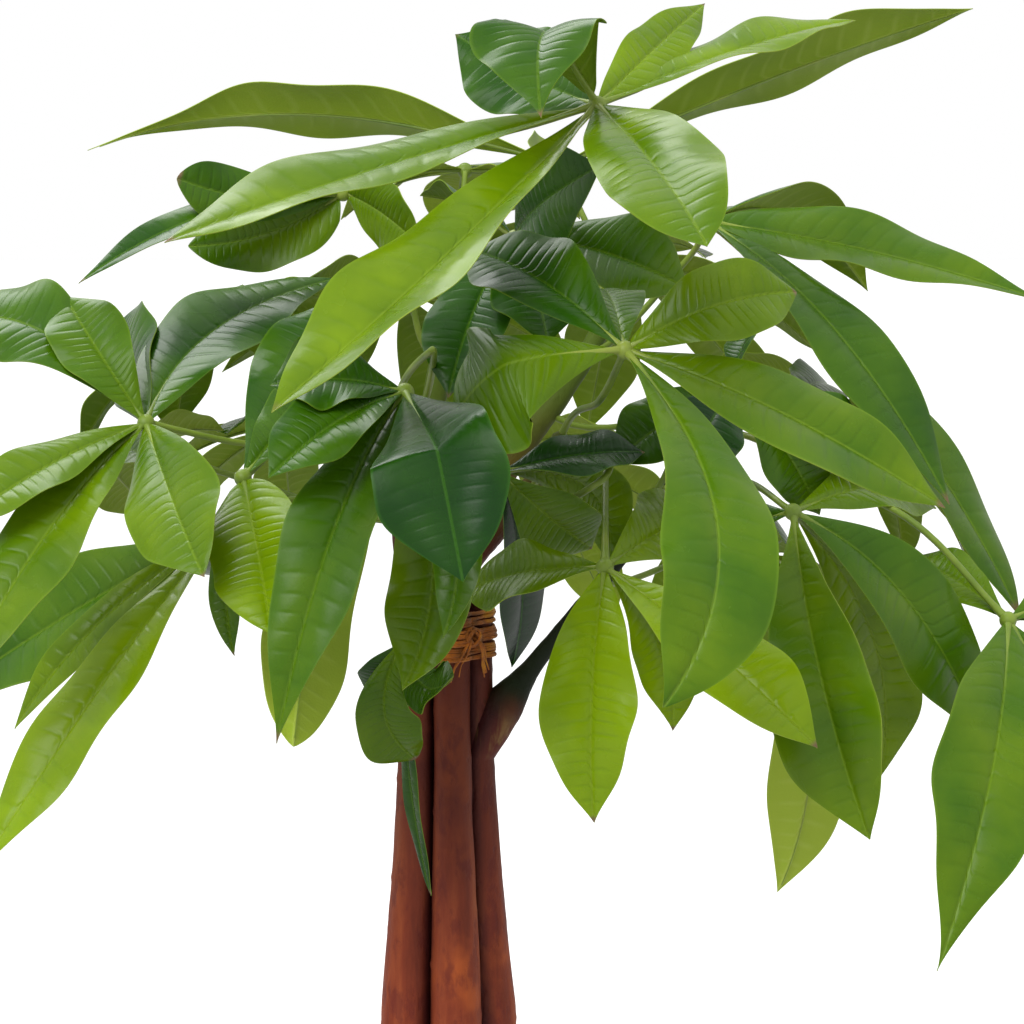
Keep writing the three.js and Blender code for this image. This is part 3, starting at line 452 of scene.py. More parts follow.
# the studio: places and sizes in metres, powers in watts
CROWN_MIDDLE = (0.03, 0, 0.7)
SOFT_LIGHTS = [
    dict(name="light_above", spot=(-0.7, 0.9, 2.2), size=1.2, power=14),
    dict(name="light_front", spot=(-1.2, -1.8, 2.2), size=1.6, power=22),
]
SUN_TURN = (math.radians(36), 0, math.radians(-20))
SUN_STRENGTH = 1.8
SUN_WIDTH = math.radians(30)
FLOOR_SIZE = 40
FLOOR_COLOUR = (0.97, 0.97, 0.97, 1.0)
SKY_BELOW = 0.65
SKY_ABOVE = 0.85

# ---------------------------------------------------------------- small helpers


def unit(v):
    """v at length 1, row by row if it is a table of vectors."""
    return v / np.linalg.norm(v, axis=-1, keepdims=True)


def square_to(n, v):
    """The part of v square to unit vector n, at length 1, row by row for tables."""
    return unit(v - n * np.sum(v * n, axis=-1, keepdims=True))


def lerp(a, b, share):
    return a + (b - a) * share


def place(spot):
    """The place in space of a place read off the front view."""
    across, down, depth = spot
    focus = VIEW_DISTANCE / VIEW_STEP
    forward = np.array([0, math.cos(VIEW_PITCH), -math.sin(VIEW_PITCH)])
    upward = np.array([0, math.sin(VIEW_PITCH), math.cos(VIEW_PITCH)])
    eye = VIEW_AIM - forward * VIEW_DISTANCE
    ray = forward + np.array([(across - VIEW_SIZE / 2) / focus, 0, 0])
    ray = ray + upward * (VIEW_SIZE / 2 - down) / focus
    return eye + ray * (depth - eye[1]) / ray[1]


def trunk_at(z, column):
    """A value of TRUNK at a height: column 1 is the ring's radius and column 2 the stem's."""
    return float(np.interp(z, [row[0] for row in TRUNK], [row[column] for row in TRUNK]))


def colour(red, green, blue):
    """A colour given as it looks on a screen, from 0 to 255, as the shader wants it."""
    shares = [c / 255 for c in (red, green, blue)]
    return tuple(c / 12.92 if c < 0.04045 else ((c + 0.055) / 1.055) ** 2.4 for c in shares) + (1.0,)


def pick(*objects):
    """Selects these objects alone, the first as the active one."""
    bpy.ops.object.select_all(action="DESELECT")
    for obj in objects:
        obj.select_set(True)
    bpy.context.view_layer.objects.active = objects[0]


def apply_modifier(obj, kind, **settings):
    """Adds a modifier with these settings and makes its result the mesh."""
    pick(obj)
    modifier = obj.modifiers.new(kind.title(), kind)
    for name, value in settings.items():
        setattr(modifier, name, value)
    bpy.ops.object.modifier_apply(modifier=modifier.name)


def smooth(obj, degrees=50):
    pick(obj)
    bpy.ops.object.shade_smooth_by_angle(angle=math.radians(degrees))


def joined(objects, name):
    """All objects as one, with its own name."""
    pick(*objects)
    if len(objects) > 1:
        bpy.ops.object.join()
    whole = bpy.context.view_layer.objects.active
    whole.name = name
    whole.data.name = name
    return whole


def finished(obj, node):
    """The piece stands for a node of the frame and stays with it."""
    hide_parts(node)
    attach(obj, "root")
    return obj


def round_rods(name, rods, sides, material):
    """One mesh of round rods. Each rod is its centres and radii, in millimetres."""
    curve = bpy.data.curves.new(name, "CURVE")
    curve.dimensions = "3D"
    curve.bevel_depth = MM
    curve.bevel_resolution = sides // 2 - 2
    curve.use_fill_caps = True
    for centres, radii in rods:
        spline = curve.splines.new("POLY")
        spline.points.add(len(centres) - 1)
        spots = np.column_stack([np.asarray(centres) * MM, np.ones(len(centres))])
        spline.points.foreach_set("co", spots.ravel())
        spline.points.foreach_set("radius", np.asarray(radii, float))
    obj = bpy.data.objects.new(name, curve)
    bpy.context.collection.objects.link(obj)
    curve.materials.append(material)
    pick(obj)
    bpy.ops.object.convert(target="MESH")
    return bpy.context.view_layer.objects.active


# ---------------------------------------------------------------- materials


class Recipe:
    """A material under construction: nodes are added by kind, and an input that is a socket is linked."""

    def __init__(self, name):
        self.material = bpy.data.materials.new(name)
        self.material.use_nodes = True
        self.tree = self.material.node_tree
        self.shader = self.tree.nodes["Principled BSDF"]

    def fill(self, made, inputs):
        for key, value in inputs.items():
            socket = made.inputs[key]
            if isinstance(value, bpy.types.NodeSocket):
                self.tree.links.new(value, socket)
            else:
                socket.default_value = value

    def add(self, kind, inputs=None, **settings):
        made = self.tree.nodes.new("ShaderNode" + kind)
        for key, value in settings.items():
            setattr(made, key, value)
        self.fill(made, inputs or {})
        return made

    def math(self, operation, a, b=0.0, clamp=False):
        return self.add("Math", {0: a, 1: b}, operation=operation, use_clamp=clamp).outputs[0]

    def between(self, value, low, high):
        """0 at low, 1 at high, smooth in between; low may be the larger."""
        flip = low > high
        inputs = {"Value": value, "From Min": min(low, high), "From Max": max(low, high)}
        inputs["To Min"] = 1.0 if flip else 0.0
        inputs["To Max"] = 0.0 if flip else 1.0
        return self.add("MapRange", inputs, interpolation_type="SMOOTHSTEP").outputs[0]

    def mix(self, share, a, b, blend="MIX"):
        made = self.add("Mix", data_type="RGBA", blend_type=blend)
        self.fill(made, {0: share, 6: a, 7: b})
        return made.outputs[2]

    def ramp(self, share, stops):
        made = self.add("ValToRGB", {"Fac": share})
        elements = made.color_ramp.elements
        while len(elements) < len(stops):
            elements.new(1.0)
        for element, (spot, shade) in zip(elements, stops):
            element.position = spot
            element.color = shade
        return made.outputs["Color"]

    def noise(self, scale, detail=3.0, roughness=0.5, stretch=None):
        spots = self.add("TexCoord").outputs["Object"]
        if stretch:
            spots = self.add("Mapping", {"Vector": spots, "Scale": stretch}).outputs[0]
        inputs = {"Vector": spots, "Scale": scale, "Detail": detail, "Roughness": roughness}
        return self.add("TexNoise", inputs).outputs["Fac"]

    def attribute(self, name):
        return self.add("Attribute", attribute_name=name).outputs["Fac"]

    def bump(self, height, strength, distance, below=None):
        inputs = {"Height": height, "Strength": strength, "Distance": distance}
        if below is not None:
            inputs["Normal"] = below
        return self.add("Bump", inputs).outputs["Normal"]

    def finish(self, **sockets):
        names = {key.replace("_", " ").capitalize(): value for key, value in sockets.items()}
        spelled = {socket.name.capitalize(): socket.name for socket in self.shader.inputs}
        self.fill(self.shader, {spelled[key]: value for key, value in names.items()})
        return self.material


def vein_marks(recipe):
    """Masks of a blade, each from 0 to 1: the side veins, the midrib, the edge, which gets a painted
    highlight, and the way along it.
    """
    blade_map = recipe.add("UVMap", uv_map="UVMap").outputs[0]
    parts = recipe.add("SeparateXYZ", {0: blade_map})
    along, across = parts.outputs[0], parts.outputs[1]
    phase = recipe.math("FRACT", recipe.attribute("vein"))
    away = recipe.math("ABSOLUTE", recipe.math("SUBTRACT", phase, 0.5))
    side_veins = recipe.between(away, 0.3, 0.5)
    from_rib = recipe.attribute("from_rib")
    midrib_mark = recipe.between(from_rib, 0.95, 0.35)
    from_middle = recipe.math("ABSOLUTE", recipe.math("SUBTRACT", across, 0.5))
    edge = recipe.between(from_middle, 0.48, 0.5)
    inside = recipe.between(from_middle, 0.49, 0.3)
    return recipe.math("MULTIPLY", side_veins, inside), midrib_mark, edge, along


def upper_leaf():
    """The glossy upper face: deep green when old, yellow-green when young. Old side veins hardly show. The
    side veins get painted shade, and the edge a pale painted highlight.
    """
    recipe = Recipe("leaf upper face")
    side_veins, midrib_mark, edge, along = vein_marks(recipe)
    tone = recipe.attribute("tone")
    side_veins = recipe.math("MULTIPLY", side_veins, recipe.between(tone, -0.15, 0.4))
    clouds = recipe.math("MULTIPLY", recipe.math("SUBTRACT", recipe.noise(24.0, 5.0), 0.5), 0.75)
    base = recipe.ramp(
        recipe.math("ADD", tone, clouds, clamp=True),
        [
            (0.0, colour(14, 54, 6)),
            (0.25, colour(36, 76, 4)),
            (0.5, colour(62, 98, 3)),
            (0.75, colour(88, 117, 2)),
            (1.0, colour(118, 146, 2)),
        ],
    )
    pale = recipe.ramp(tone, [(0.0, colour(52, 104, 22)), (1.0, colour(134, 158, 40))])
    # painted shade: the sunken side veins are darkened, as shade in their creases
    vein_shaded = recipe.mix(recipe.math("MULTIPLY", side_veins, 0.3), base, (0.75, 0.85, 0.5, 1.0), "MULTIPLY")
    with_rib = recipe.mix(recipe.math("MULTIPLY", midrib_mark, 0.45), vein_shaded, pale)
    # painted highlight: the blade's edge is paler, as where light catches it
    with_edge_highlight = recipe.mix(recipe.math("MULTIPLY", edge, 0.35), with_rib, pale)
    dried = recipe.between(recipe.noise(11.0, 1.0), 0.48, 0.54)
    dry_tip = recipe.math("MULTIPLY", recipe.between(along, 0.965, 0.99), dried)
    shade = recipe.mix(dry_tip, with_edge_highlight, colour(112, 92, 66))
    grain = recipe.noise(1400.0, 2.0)
    ripple = recipe.noise(240.0, 3.0)
    sunk_veins = recipe.math("MULTIPLY", side_veins, -1.0)
    height = recipe.math("ADD", sunk_veins, recipe.math("MULTIPLY", ripple, 0.4))
    height = recipe.math("ADD", height, recipe.math("MULTIPLY", grain, 0.12))
    gloss = recipe.math("ADD", recipe.math("MULTIPLY", recipe.noise(60.0, 4.0), 0.22), 0.15)
    return recipe.finish(
        base_color=shade,
        roughness=gloss,
        normal=recipe.bump(height, 0.42, 0.0004),
        specular_ior_level=0.25,
        **LEAF_FLESH,
    )


def lower_leaf():
    """The dull underside, olive green with a paler rib and veins, and a pale painted highlight along the
    edge.
    """
    recipe = Recipe("leaf underside")
    side_veins, midrib_mark, edge, _ = vein_marks(recipe)
    tone = recipe.attribute("tone")
    clouds = recipe.math("MULTIPLY", recipe.math("SUBTRACT", recipe.noise(26.0, 4.0), 0.5), 0.3)
    base = recipe.ramp(
        recipe.math("ADD", tone, clouds, clamp=True),
        [
            (0.0, colour(72, 104, 14)),
            (0.5, colour(112, 138, 14)),
            (1.0, colour(160, 180, 60)),
        ],
    )
    pale = recipe.ramp(tone, [(0.0, colour(106, 132, 40)), (1.0, colour(176, 192, 88))])
    with_veins = recipe.mix(recipe.math("MULTIPLY", side_veins, 0.3), base, pale)
    with_rib = recipe.mix(recipe.math("MULTIPLY", midrib_mark, 0.7), with_veins, pale)
    # painted highlight: the edge is paler, as where light catches it
    shade = recipe.mix(recipe.math("MULTIPLY", edge, 0.3), with_rib, pale)
    height = recipe.math("ADD", recipe.math("MULTIPLY", side_veins, 0.8), recipe.noise(900.0, 3.0))
    return recipe.finish(
        base_color=shade,
        roughness=0.55,
        normal=recipe.bump(height, 0.4, 0.0004),
        specular_ior_level=0.2,
        **LEAF_FLESH,
    )


def leaf_stalk():
    """Stalks, knobs and the ribs under the blades: smooth yellow-green, a little browner in places."""
    recipe = Recipe("leaf stalk")
    shade = recipe.ramp(
        recipe.noise(35.0, 4.0),
        [(0.3, colour(92, 118, 36)), (0.55, colour(124, 146, 48)), (0.8, colour(150, 158, 70))],
    )
    return recipe.finish(
        base_color=shade,
        roughness=0.4,
        normal=recipe.bump(recipe.noise(700.0, 3.0), 0.25, 0.0004),
        subsurface_weight=0.1,
        subsurface_radius=(0.35, 0.5, 0.1),
        subsurface_scale=0.003,
    )


def bark():
    """Smooth red-brown bark: orange patches, a worn knob and green young wood, with painted shade: dark
    maroon in the grooves between stems, darker towards the top under the crown, and near black on the slim
    shoot's green.
    """
    recipe = Recipe("bark")
    streaks = recipe.noise(60.0, 5.0, 0.6, stretch=(1.0, 1.0, 0.12))
    base = recipe.ramp(
        streaks,
        [
            (0.25, colour(88, 34, 22)),
            (0.45, colour(132, 56, 32)),
            (0.6, colour(156, 76, 42)),
            (0.8, colour(178, 106, 66)),
        ],
    )
    patches = recipe.between(recipe.noise(28.0, 3.0), 0.52, 0.66)
    warmed = recipe.mix(recipe.math("MULTIPLY", patches, 0.6), base, colour(188, 92, 40))
    weathered = recipe.between(recipe.noise(17.0, 3.0, stretch=(1.0, 1.0, 0.4)), 0.6, 0.74)
    worn = recipe.mix(recipe.math("MULTIPLY", weathered, 0.3), warmed, colour(140, 104, 66))
    blotches = recipe.between(recipe.noise(95.0, 5.0, 0.65, stretch=(1.0, 1.0, 0.45)), 0.5, 0.36)
    mottled = recipe.mix(recipe.math("MULTIPLY", blotches, 0.5), worn, colour(96, 32, 30))
    height_of_plant = recipe.add("SeparateXYZ", {0: recipe.add("TexCoord").outputs["Object"]}).outputs[2]
    # painted shade: the bark gets darker towards the top, where the crown shades it
    crown_shade_mask = recipe.between(height_of_plant, 0.44, 0.56)
    crown_shaded = recipe.mix(recipe.math("MULTIPLY", crown_shade_mask, 0.7), mottled, colour(66, 24, 24))
    # painted shade: dark maroon in the grooves between the stems, below the tie
    groove_shaded = recipe.mix(recipe.math("MULTIPLY", recipe.attribute("groove"), 0.85), crown_shaded, colour(44, 12, 18))
    rubbed = recipe.math("MULTIPLY", recipe.attribute("knob"), recipe.between(streaks, 0.46, 0.6))
    knobbed = recipe.mix(recipe.math("MULTIPLY", rubbed, 0.8), groove_shaded, colour(140, 112, 66))
    young = recipe.between(height_of_plant, 0.64, 0.74)
    greened = recipe.mix(young, knobbed, colour(84, 104, 34))
    # painted shade: the slim shoot's green wood is painted near black, as it lies in the crown's shade
    shade = recipe.mix(recipe.attribute("shaded_green_wood"), greened, colour(22, 32, 12))
    height = recipe.math("ADD", streaks, recipe.math("MULTIPLY", recipe.noise(420.0, 4.0), 0.5))
    height = recipe.math("SUBTRACT", height, recipe.math("MULTIPLY", blotches, 0.35))
    return recipe.finish(
        base_color=shade,
        roughness=recipe.math("ADD", recipe.math("MULTIPLY", streaks, 0.25), 0.42),
        normal=recipe.bump(height, 0.6, 0.001),
        specular_ior_level=0.22,
    )


def raffia():
    """Dry palm fibre, orange to olive yellow, with fine fibres along it."""
    recipe = Recipe("raffia")
    shade = recipe.ramp(
        recipe.noise(75.0, 4.0, 0.65),
        [
            (0.3, colour(98, 56, 8)),
            (0.5, colour(176, 94, 8)),
            (0.65, colour(212, 140, 22)),
            (0.85, colour(140, 112, 20)),
        ],
    )
    fibres = recipe.noise(500.0, 4.0, stretch=(1.0, 1.0, 5.0))
    return recipe.finish(
        base_color=shade,
        roughness=0.62,
        normal=recipe.bump(fibres, 0.6, 0.0006),
        sheen_weight=0.15,
    )


def clay():
    """Unglazed clay: warm orange-brown, mottled, with a bloom of pale salts and fine sand in it."""
    recipe = Recipe("terracotta")
    base = recipe.ramp(
        recipe.noise(9.0, 6.0, 0.6),
        [(0.3, colour(160, 82, 52)), (0.5, colour(184, 102, 66)), (0.75, colour(200, 124, 86))],
    )
    salts = recipe.between(recipe.noise(14.0, 8.0, 0.68), 0.55, 0.75)
    bloomed = recipe.mix(recipe.math("MULTIPLY", salts, 0.38), base, colour(222, 186, 158))
    spots = recipe.between(recipe.noise(260.0, 3.0), 0.66, 0.74)
    speckled = recipe.mix(recipe.math("MULTIPLY", spots, 0.5), bloomed, colour(110, 58, 40))
    sand = recipe.noise(1500.0, 3.0)
    rings = recipe.noise(130.0, 2.0, stretch=(0.04, 0.04, 1.0))
    height = recipe.math("ADD", recipe.math("MULTIPLY", sand, 0.35), recipe.math("MULTIPLY", rings, 0.9))
    return recipe.finish(
        base_color=speckled,
        roughness=0.88,
        normal=recipe.bump(height, 0.45, 0.0009),
        specular_ior_level=0.25,
    )


def potting_soil():
    """Damp dark crumbs with lighter fibres among them."""
    recipe = Recipe("potting soil")
    base = recipe.ramp(
        recipe.noise(160.0, 8.0, 0.7),
        [(0.32, colour(24, 16, 12)), (0.5, colour(52, 35, 25)), (0.7, colour(86, 62, 44))],
    )
    fibres = recipe.between(recipe.noise(420.0, 2.0, stretch=(1.0, 0.25, 1.0)), 0.64, 0.72)
    shade = recipe.mix(recipe.math("MULTIPLY", fibres, 0.5), base, colour(120, 92, 62))
    return recipe.finish(
        base_color=shade,
        roughness=0.95,
        normal=recipe.bump(recipe.noise(600.0, 6.0), 0.9, 0.002),
        specular_ior_level=0.2,
    )


def plain(name, shade, roughness):
    """One paint all over, for the floor, with the faintest mottle."""
    recipe = Recipe(name)
    tone = recipe.mix(recipe.noise(2.0), shade, tuple(c * 0.99 for c in shade[:3]) + (1.0,))
    return recipe.finish(base_color=tone, roughness=roughness, specular_ior_level=0.1)


# ---------------------------------------------------------------- camera, light and floor


def camera():
    """A long lens in front of the crown, looking slightly down."""
    forward = Vector((0, math.cos(VIEW_PITCH), -math.sin(VIEW_PITCH)))
    eye = Vector(VIEW_AIM) - forward * VIEW_DISTANCE
    bpy.ops.object.camera_add(location=eye * MM, rotation=(math.pi / 2 - VIEW_PITCH, 0, 0))
    shot = bpy.context.object
    shot.data.sensor_width = FILM_WIDTH
    shot.data.lens = FILM_WIDTH * (VIEW_DISTANCE / VIEW_STEP) / VIEW_SIZE
    shot.data.clip_end = 50
    bpy.context.scene.camera = shot


def soft_light(name, spot, size, power):
    """A round lamp that faces the middle of the crown."""
    bpy.ops.object.light_add(type="AREA", location=spot)
    light = bpy.context.object
    light.name = name
    light.data.shape = "DISK"
    light.data.size = size
    light.data.energy = power
    light.rotation_euler = (Vector(CROWN_MIDDLE) - Vector(spot)).to_track_quat("-Z", "Y").to_euler()


def surroundings():
    """A soft sky, brighter above, which the camera sees as plain white."""
    world = bpy.data.worlds.new("surroundings")
    bpy.context.scene.world = world
    world.use_nodes = True
    nodes, links = world.node_tree.nodes, world.node_tree.links
    spots = nodes.new("ShaderNodeTexCoord")
    parts = nodes.new("ShaderNodeSeparateXYZ")
    links.new(spots.outputs["Generated"], parts.inputs[0])
    sky = nodes.new("ShaderNodeMapRange")
    for name, value in (("From Min", -0.4), ("From Max", 0.9), ("To Min", SKY_BELOW), ("To Max", SKY_ABOVE)):
        sky.inputs[name].default_value = value
    links.new(parts.outputs[2], sky.inputs["Value"])
    path = nodes.new("ShaderNodeLightPath")
    seen = nodes.new("ShaderNodeMix")
    links.new(path.outputs["Is Camera Ray"], seen.inputs[0])
    links.new(sky.outputs[0], seen.inputs[2])
    seen.inputs[3].default_value = 1.0
    links.new(seen.outputs[0], nodes["Background"].inputs["Strength"])
    nodes["Background"].inputs["Color"].default_value = (1, 1, 1, 1)


def studio():
    """White surroundings, a large pale floor, and soft lights from above."""
    surroundings()
    bpy.context.scene.view_settings.view_transform = "Standard"
    for lamp in SOFT_LIGHTS:
        soft_light(**lamp)
    bpy.ops.object.light_add(type="SUN", rotation=SUN_TURN)
    sun = bpy.context.object
    sun.data.energy = SUN_STRENGTH
    sun.data.angle = SUN_WIDTH
    sun.visible_glossy = False
    bpy.ops.mesh.primitive_plane_add(size=FLOOR_SIZE, location=(0, 0, 0))
    floor = bpy.context.object
    floor.name = "floor"
    floor.data.materials.append(plain("pale floor", FLOOR_COLOUR, 0.9))
    floor.visible_diffuse = False
    floor.visible_glossy = False


# ---------------------------------------------------------------- pot and soil


def pot_outside(z):
    return lerp(POT_FOOT, POT_MOUTH, z / POT_HEIGHT)


def pot():
    """Drawn up from its foot ring by ring, over the rim and down to the floor inside."""
    rim_low = POT_HEIGHT - POT_RIM_HEIGHT
    walls = [
        (pot_outside(rim_low * 0.5), rim_low * 0.5),
        (pot_outside(rim_low), rim_low),
        (POT_RIM - POT_LEDGE, rim_low),
        (POT_RIM, POT_HEIGHT),
        (pot_outside(POT_HEIGHT) - POT_WALL, POT_HEIGHT),
        (pot_outside(SOIL_TOP) - POT_WALL, SOIL_TOP),
        (pot_outside(POT_FLOOR) - POT_WALL, POT_FLOOR),
    ]
    bpy.ops.object.select_all(action="DESELECT")
    bpy.ops.mesh.primitive_circle_add(vertices=POT_SIDES, radius=POT_FOOT * MM, fill_type="NGON")
    obj = bpy.context.object
    bpy.ops.object.mode_set(mode="EDIT")
    bpy.ops.mesh.select_all(action="SELECT")
    radius, height = POT_FOOT, 0
    for next_radius, next_height in walls:
        rise = {"value": (0, 0, (next_height - height) * MM)}
        bpy.ops.mesh.extrude_region_move(TRANSFORM_OT_translate=rise)
        share = next_radius / radius
        bpy.ops.transform.resize(value=(share, share, 1), center_override=(0, 0, next_height * MM))
        radius, height = next_radius, next_height
    bpy.ops.mesh.select_all(action="SELECT")
    bpy.ops.mesh.normals_make_consistent(inside=False)
    bpy.ops.object.mode_set(mode="OBJECT")
    obj = joined([obj], "pot_look")
    bevel = {"width": POT_BEVEL * MM, "segments": 4, "limit_method": "ANGLE", "angle_limit": math.radians(25)}
    apply_modifier(obj, "BEVEL", **bevel)
    smooth(obj, 40)
    obj.data.materials.append(clay())
    finished(obj, "pot")


def soil():
    """A filling with many rings on top, raised to a lumpy mound, and loose crumbs on it."""
    foot = POT_FLOOR + SOIL_GAP
    foot_radius = pot_outside(foot) - POT_WALL - SOIL_GAP
    top_radius = pot_outside(SOIL_TOP) - POT_WALL - SOIL_GAP
    bpy.ops.object.select_all(action="DESELECT")
    bpy.ops.mesh.primitive_cone_add(
        vertices=SOIL_SIDES, radius1=foot_radius * MM, radius2=top_radius * MM,
        depth=(SOIL_TOP - foot) * MM, location=(0, 0, (SOIL_TOP + foot) / 2 * MM),
    )
    obj = bpy.context.object
    bpy.ops.object.transform_apply(location=True)
    bpy.ops.object.mode_set(mode="EDIT")
    bpy.ops.mesh.select_all(action="DESELECT")
    shape = bmesh.from_edit_mesh(obj.data)
    for face in shape.faces:
        face.select_set(face.normal.z > 0.9)
    bmesh.update_edit_mesh(obj.data)
    for _ in range(SOIL_RINGS):
        bpy.ops.mesh.inset(thickness=top_radius / (SOIL_RINGS + 1) * MM)
    bpy.ops.mesh.poke()
    bpy.ops.object.mode_set(mode="OBJECT")
    for vertex in obj.data.vertices:
        if vertex.co.z < (SOIL_TOP - 1) * MM:
            continue
        spot = vertex.co / MM
        inward = 1 - min(math.hypot(spot.x, spot.y) / top_radius, 1)
        rough = noise.fractal(spot * 0.09, 0.7, 2.2, 5) * 2.6 + noise.noise(spot * 0.03) * 3.0
        rise = SOIL_MOUND * (1 - (1 - inward) ** 2) + rough * min(inward * 12, 1)
        vertex.co.z += rise * MM
    earth = potting_soil()
    obj.data.materials.append(earth)
    smooth(obj, 60)
    whole = joined([obj, *crumbs(earth, top_radius)], "soil_look")
    finished(whole, "soil")


def crumbs(earth, top_radius):
    """Loose crumbs between the stems and the pot, each a turned and scaled copy of one rough pebble."""
    chance = random.Random(11)
    bpy.ops.mesh.primitive_uv_sphere_add(segments=7, ring_count=5, radius=MM)
    first = bpy.context.object
    first.data.materials.append(earth)
    for vertex in first.data.vertices:
        vertex.co *= 1 + 0.35 * noise.noise(vertex.co / MM * 0.9)
    made = []
    for _ in range(CRUMBS):
        angle = chance.uniform(0, 2 * math.pi)
        reach = chance.uniform(*CRUMB_REACH) * top_radius
        size = CRUMB_LEAST + CRUMB_MORE * chance.random() ** 2.5
        crumb = first.copy()
        crumb.data = first.data.copy()
        bpy.context.collection.objects.link(crumb)
        inward = 1 - reach / top_radius
        spot = Vector((reach * math.cos(angle), reach * math.sin(angle), 0))
        spot.z = SOIL_TOP + SOIL_MOUND * (1 - (1 - inward) ** 2) + 0.3 * size
        crumb.location = spot * MM
        crumb.scale = [size * chance.uniform(0.7, 1.3) for _ in range(3)]
        crumb.rotation_euler = [chance.uniform(0, 2 * math.pi) for _ in range(3)]
        made.append(crumb)
    bpy.data.objects.remove(first)
    pick(*made)
    bpy.ops.object.transform_apply(location=True, rotation=True, scale=True)
    for crumb in made:
        crumb.data.shade_smooth()
    return made


# ---------------------------------------------------------------- stems


def twist_at(z):
    """How far the ring of stems is turned at a height: nothing at the top, and quicker downwards."""
    share = max((STRAIGHT_ABOVE - z) / (STRAIGHT_ABOVE - SOIL_TOP), 0)
    return TWIST * share * share * (1.5 - 0.5 * share)


def stem_centre(name, z):
    angle = math.radians(STEM_ANGLES[name]) + twist_at(z)
    ring = trunk_at(z, 1)
    return np.array([ring * math.cos(angle), ring * math.sin(angle), z])


def shoot_corners(name):
    """The four control points of a shoot, which goes on from the stem at first and bends to its tip."""
    forked = name == FORKED_STEM
    start = stem_centre(name, FORK_HEIGHT if forked else TRUNK[-1][0])
    tip = place(SHOOT_TIPS[name])
    outward = unit(start * np.array([1, 1, 0]))
    reach = SHOOT_REACH * np.linalg.norm(tip - start)
    up = np.array([0, 0, 1.0])
    lean = FORK_LEAN if forked else 0.0
    onward = up * math.cos(lean) + outward * math.sin(lean)
    leaving = start + onward * SHOOT_RISE * reach + outward * SHOOT_SPLAY
    arriving = tip - unit(tip - start) * SHOOT_PULL * reach - up * SHOOT_LIFT * reach
    return start, leaving, arriving, tip


def shoot_point(name, share):
    a, b, c, d = shoot_corners(name)
    rest = 1 - share
    return a * rest**3 + b * 3 * rest**2 * share + c * 3 * rest * share**2 + d * share**3


def shoot_direction(name, share):
    a, b, c, d = shoot_corners(name)
    rest = 1 - share
    return unit((b - a) * rest**2 + (c - b) * 2 * rest * share + (d - c) * share**2)


def shoot_radius(name, share):
    if name == FORKED_STEM:
        return float(np.interp(share, *zip(*FORK_RADII)))
    return lerp(TRUNK[-1][2], SHOOT_TIP_RADIUS, share)


def stem_rods(name):
    """Centres and radii of a stem and its shoot, as one rod, or as two where the shoot forks off."""
    heights = np.arange(TRUNK[0][0], TRUNK[-1][0], STEM_STEP)
    centres = [stem_centre(name, z) for z in heights]
    radii = [trunk_at(z, 2) for z in heights]
    shares = np.linspace(0, 1, SHOOT_STEPS)
    shoot_centres = [shoot_point(name, share) for share in shares]
    shoot_radii = [shoot_radius(name, share) for share in shares]
    round_off(shoot_centres, shoot_radii, shoot_direction(name, 1.0))
    if name != FORKED_STEM:
        return [(centres + shoot_centres, radii + shoot_radii)]
    for z in np.arange(TRUNK[-1][0], CUT_TOP, STEM_STEP):
        centres.append(stem_centre(name, z))
        radii.append(trunk_at(z, 2))
    round_off(centres, radii, np.array([0, 0, 0.4]))
    return [(centres, radii), (shoot_centres, shoot_radii)]


def round_off(centres, radii, onward):
    """Adds a rounded end to a rod."""
    last, radius = centres[-1], radii[-1]
    for angle in np.radians([25, 50, 70, 85]):
        centres.append(last + onward * radius * math.sin(angle))
        radii.append(radius * math.cos(angle))


def stem(name, order, material):
    """A round rod with shallow flutes and leaf scars, swollen a little where the twist opens slits."""
    obj = round_rods(f"stem_{name}_look", stem_rods(name), STEM_SIDES, material)
    offset = Vector((order * 71.0, order * 37.0, 0))  # gives each stem flutes of its own
    count = len(obj.data.vertices)
    normals = np.empty(count * 3)
    spots = np.empty(count * 3)
    obj.data.vertices.foreach_get("normal", normals)
    obj.data.vertices.foreach_get("co", spots)
    normals = normals.reshape(-1, 3)
    spots = spots.reshape(-1, 3)
    for i in range(count):
        spot = Vector(spots[i]) / MM + offset
        flutes = noise.noise(Vector((spot.x * 0.13, spot.y * 0.13, spot.z * 0.006)))
        lumps = noise.noise(Vector((spot.x * 0.05, spot.y * 0.05, spot.z * 0.03)))
        fine = noise.noise(Vector((spot.x * 0.5, spot.y * 0.5, spot.z * 0.05)))
        scar = scar_height(spot.z + order * 9, math.atan2(normals[i][1], normals[i][0]))
        closing = SLIT_SWELLING * math.exp(-(((spots[i][2] / MM - SLIT_HEIGHT) / SLIT_REACH) ** 2))
        relief = STEM_FLUTES * flutes + STEM_LUMPS * lumps + STEM_GRAIN * fine + scar + closing
        spots[i] += normals[i] * relief * MM
    obj.data.vertices.foreach_set("co", spots.ravel())
    for mark, values in bark_marks(name, spots / MM, normals).items():
        layer = obj.data.attributes.new(mark, "FLOAT", "POINT")
        layer.data.foreach_set("value", values.astype(np.float32))
    obj.data.update()
    smooth(obj, 60)
    finished(obj, f"stem_{name}")


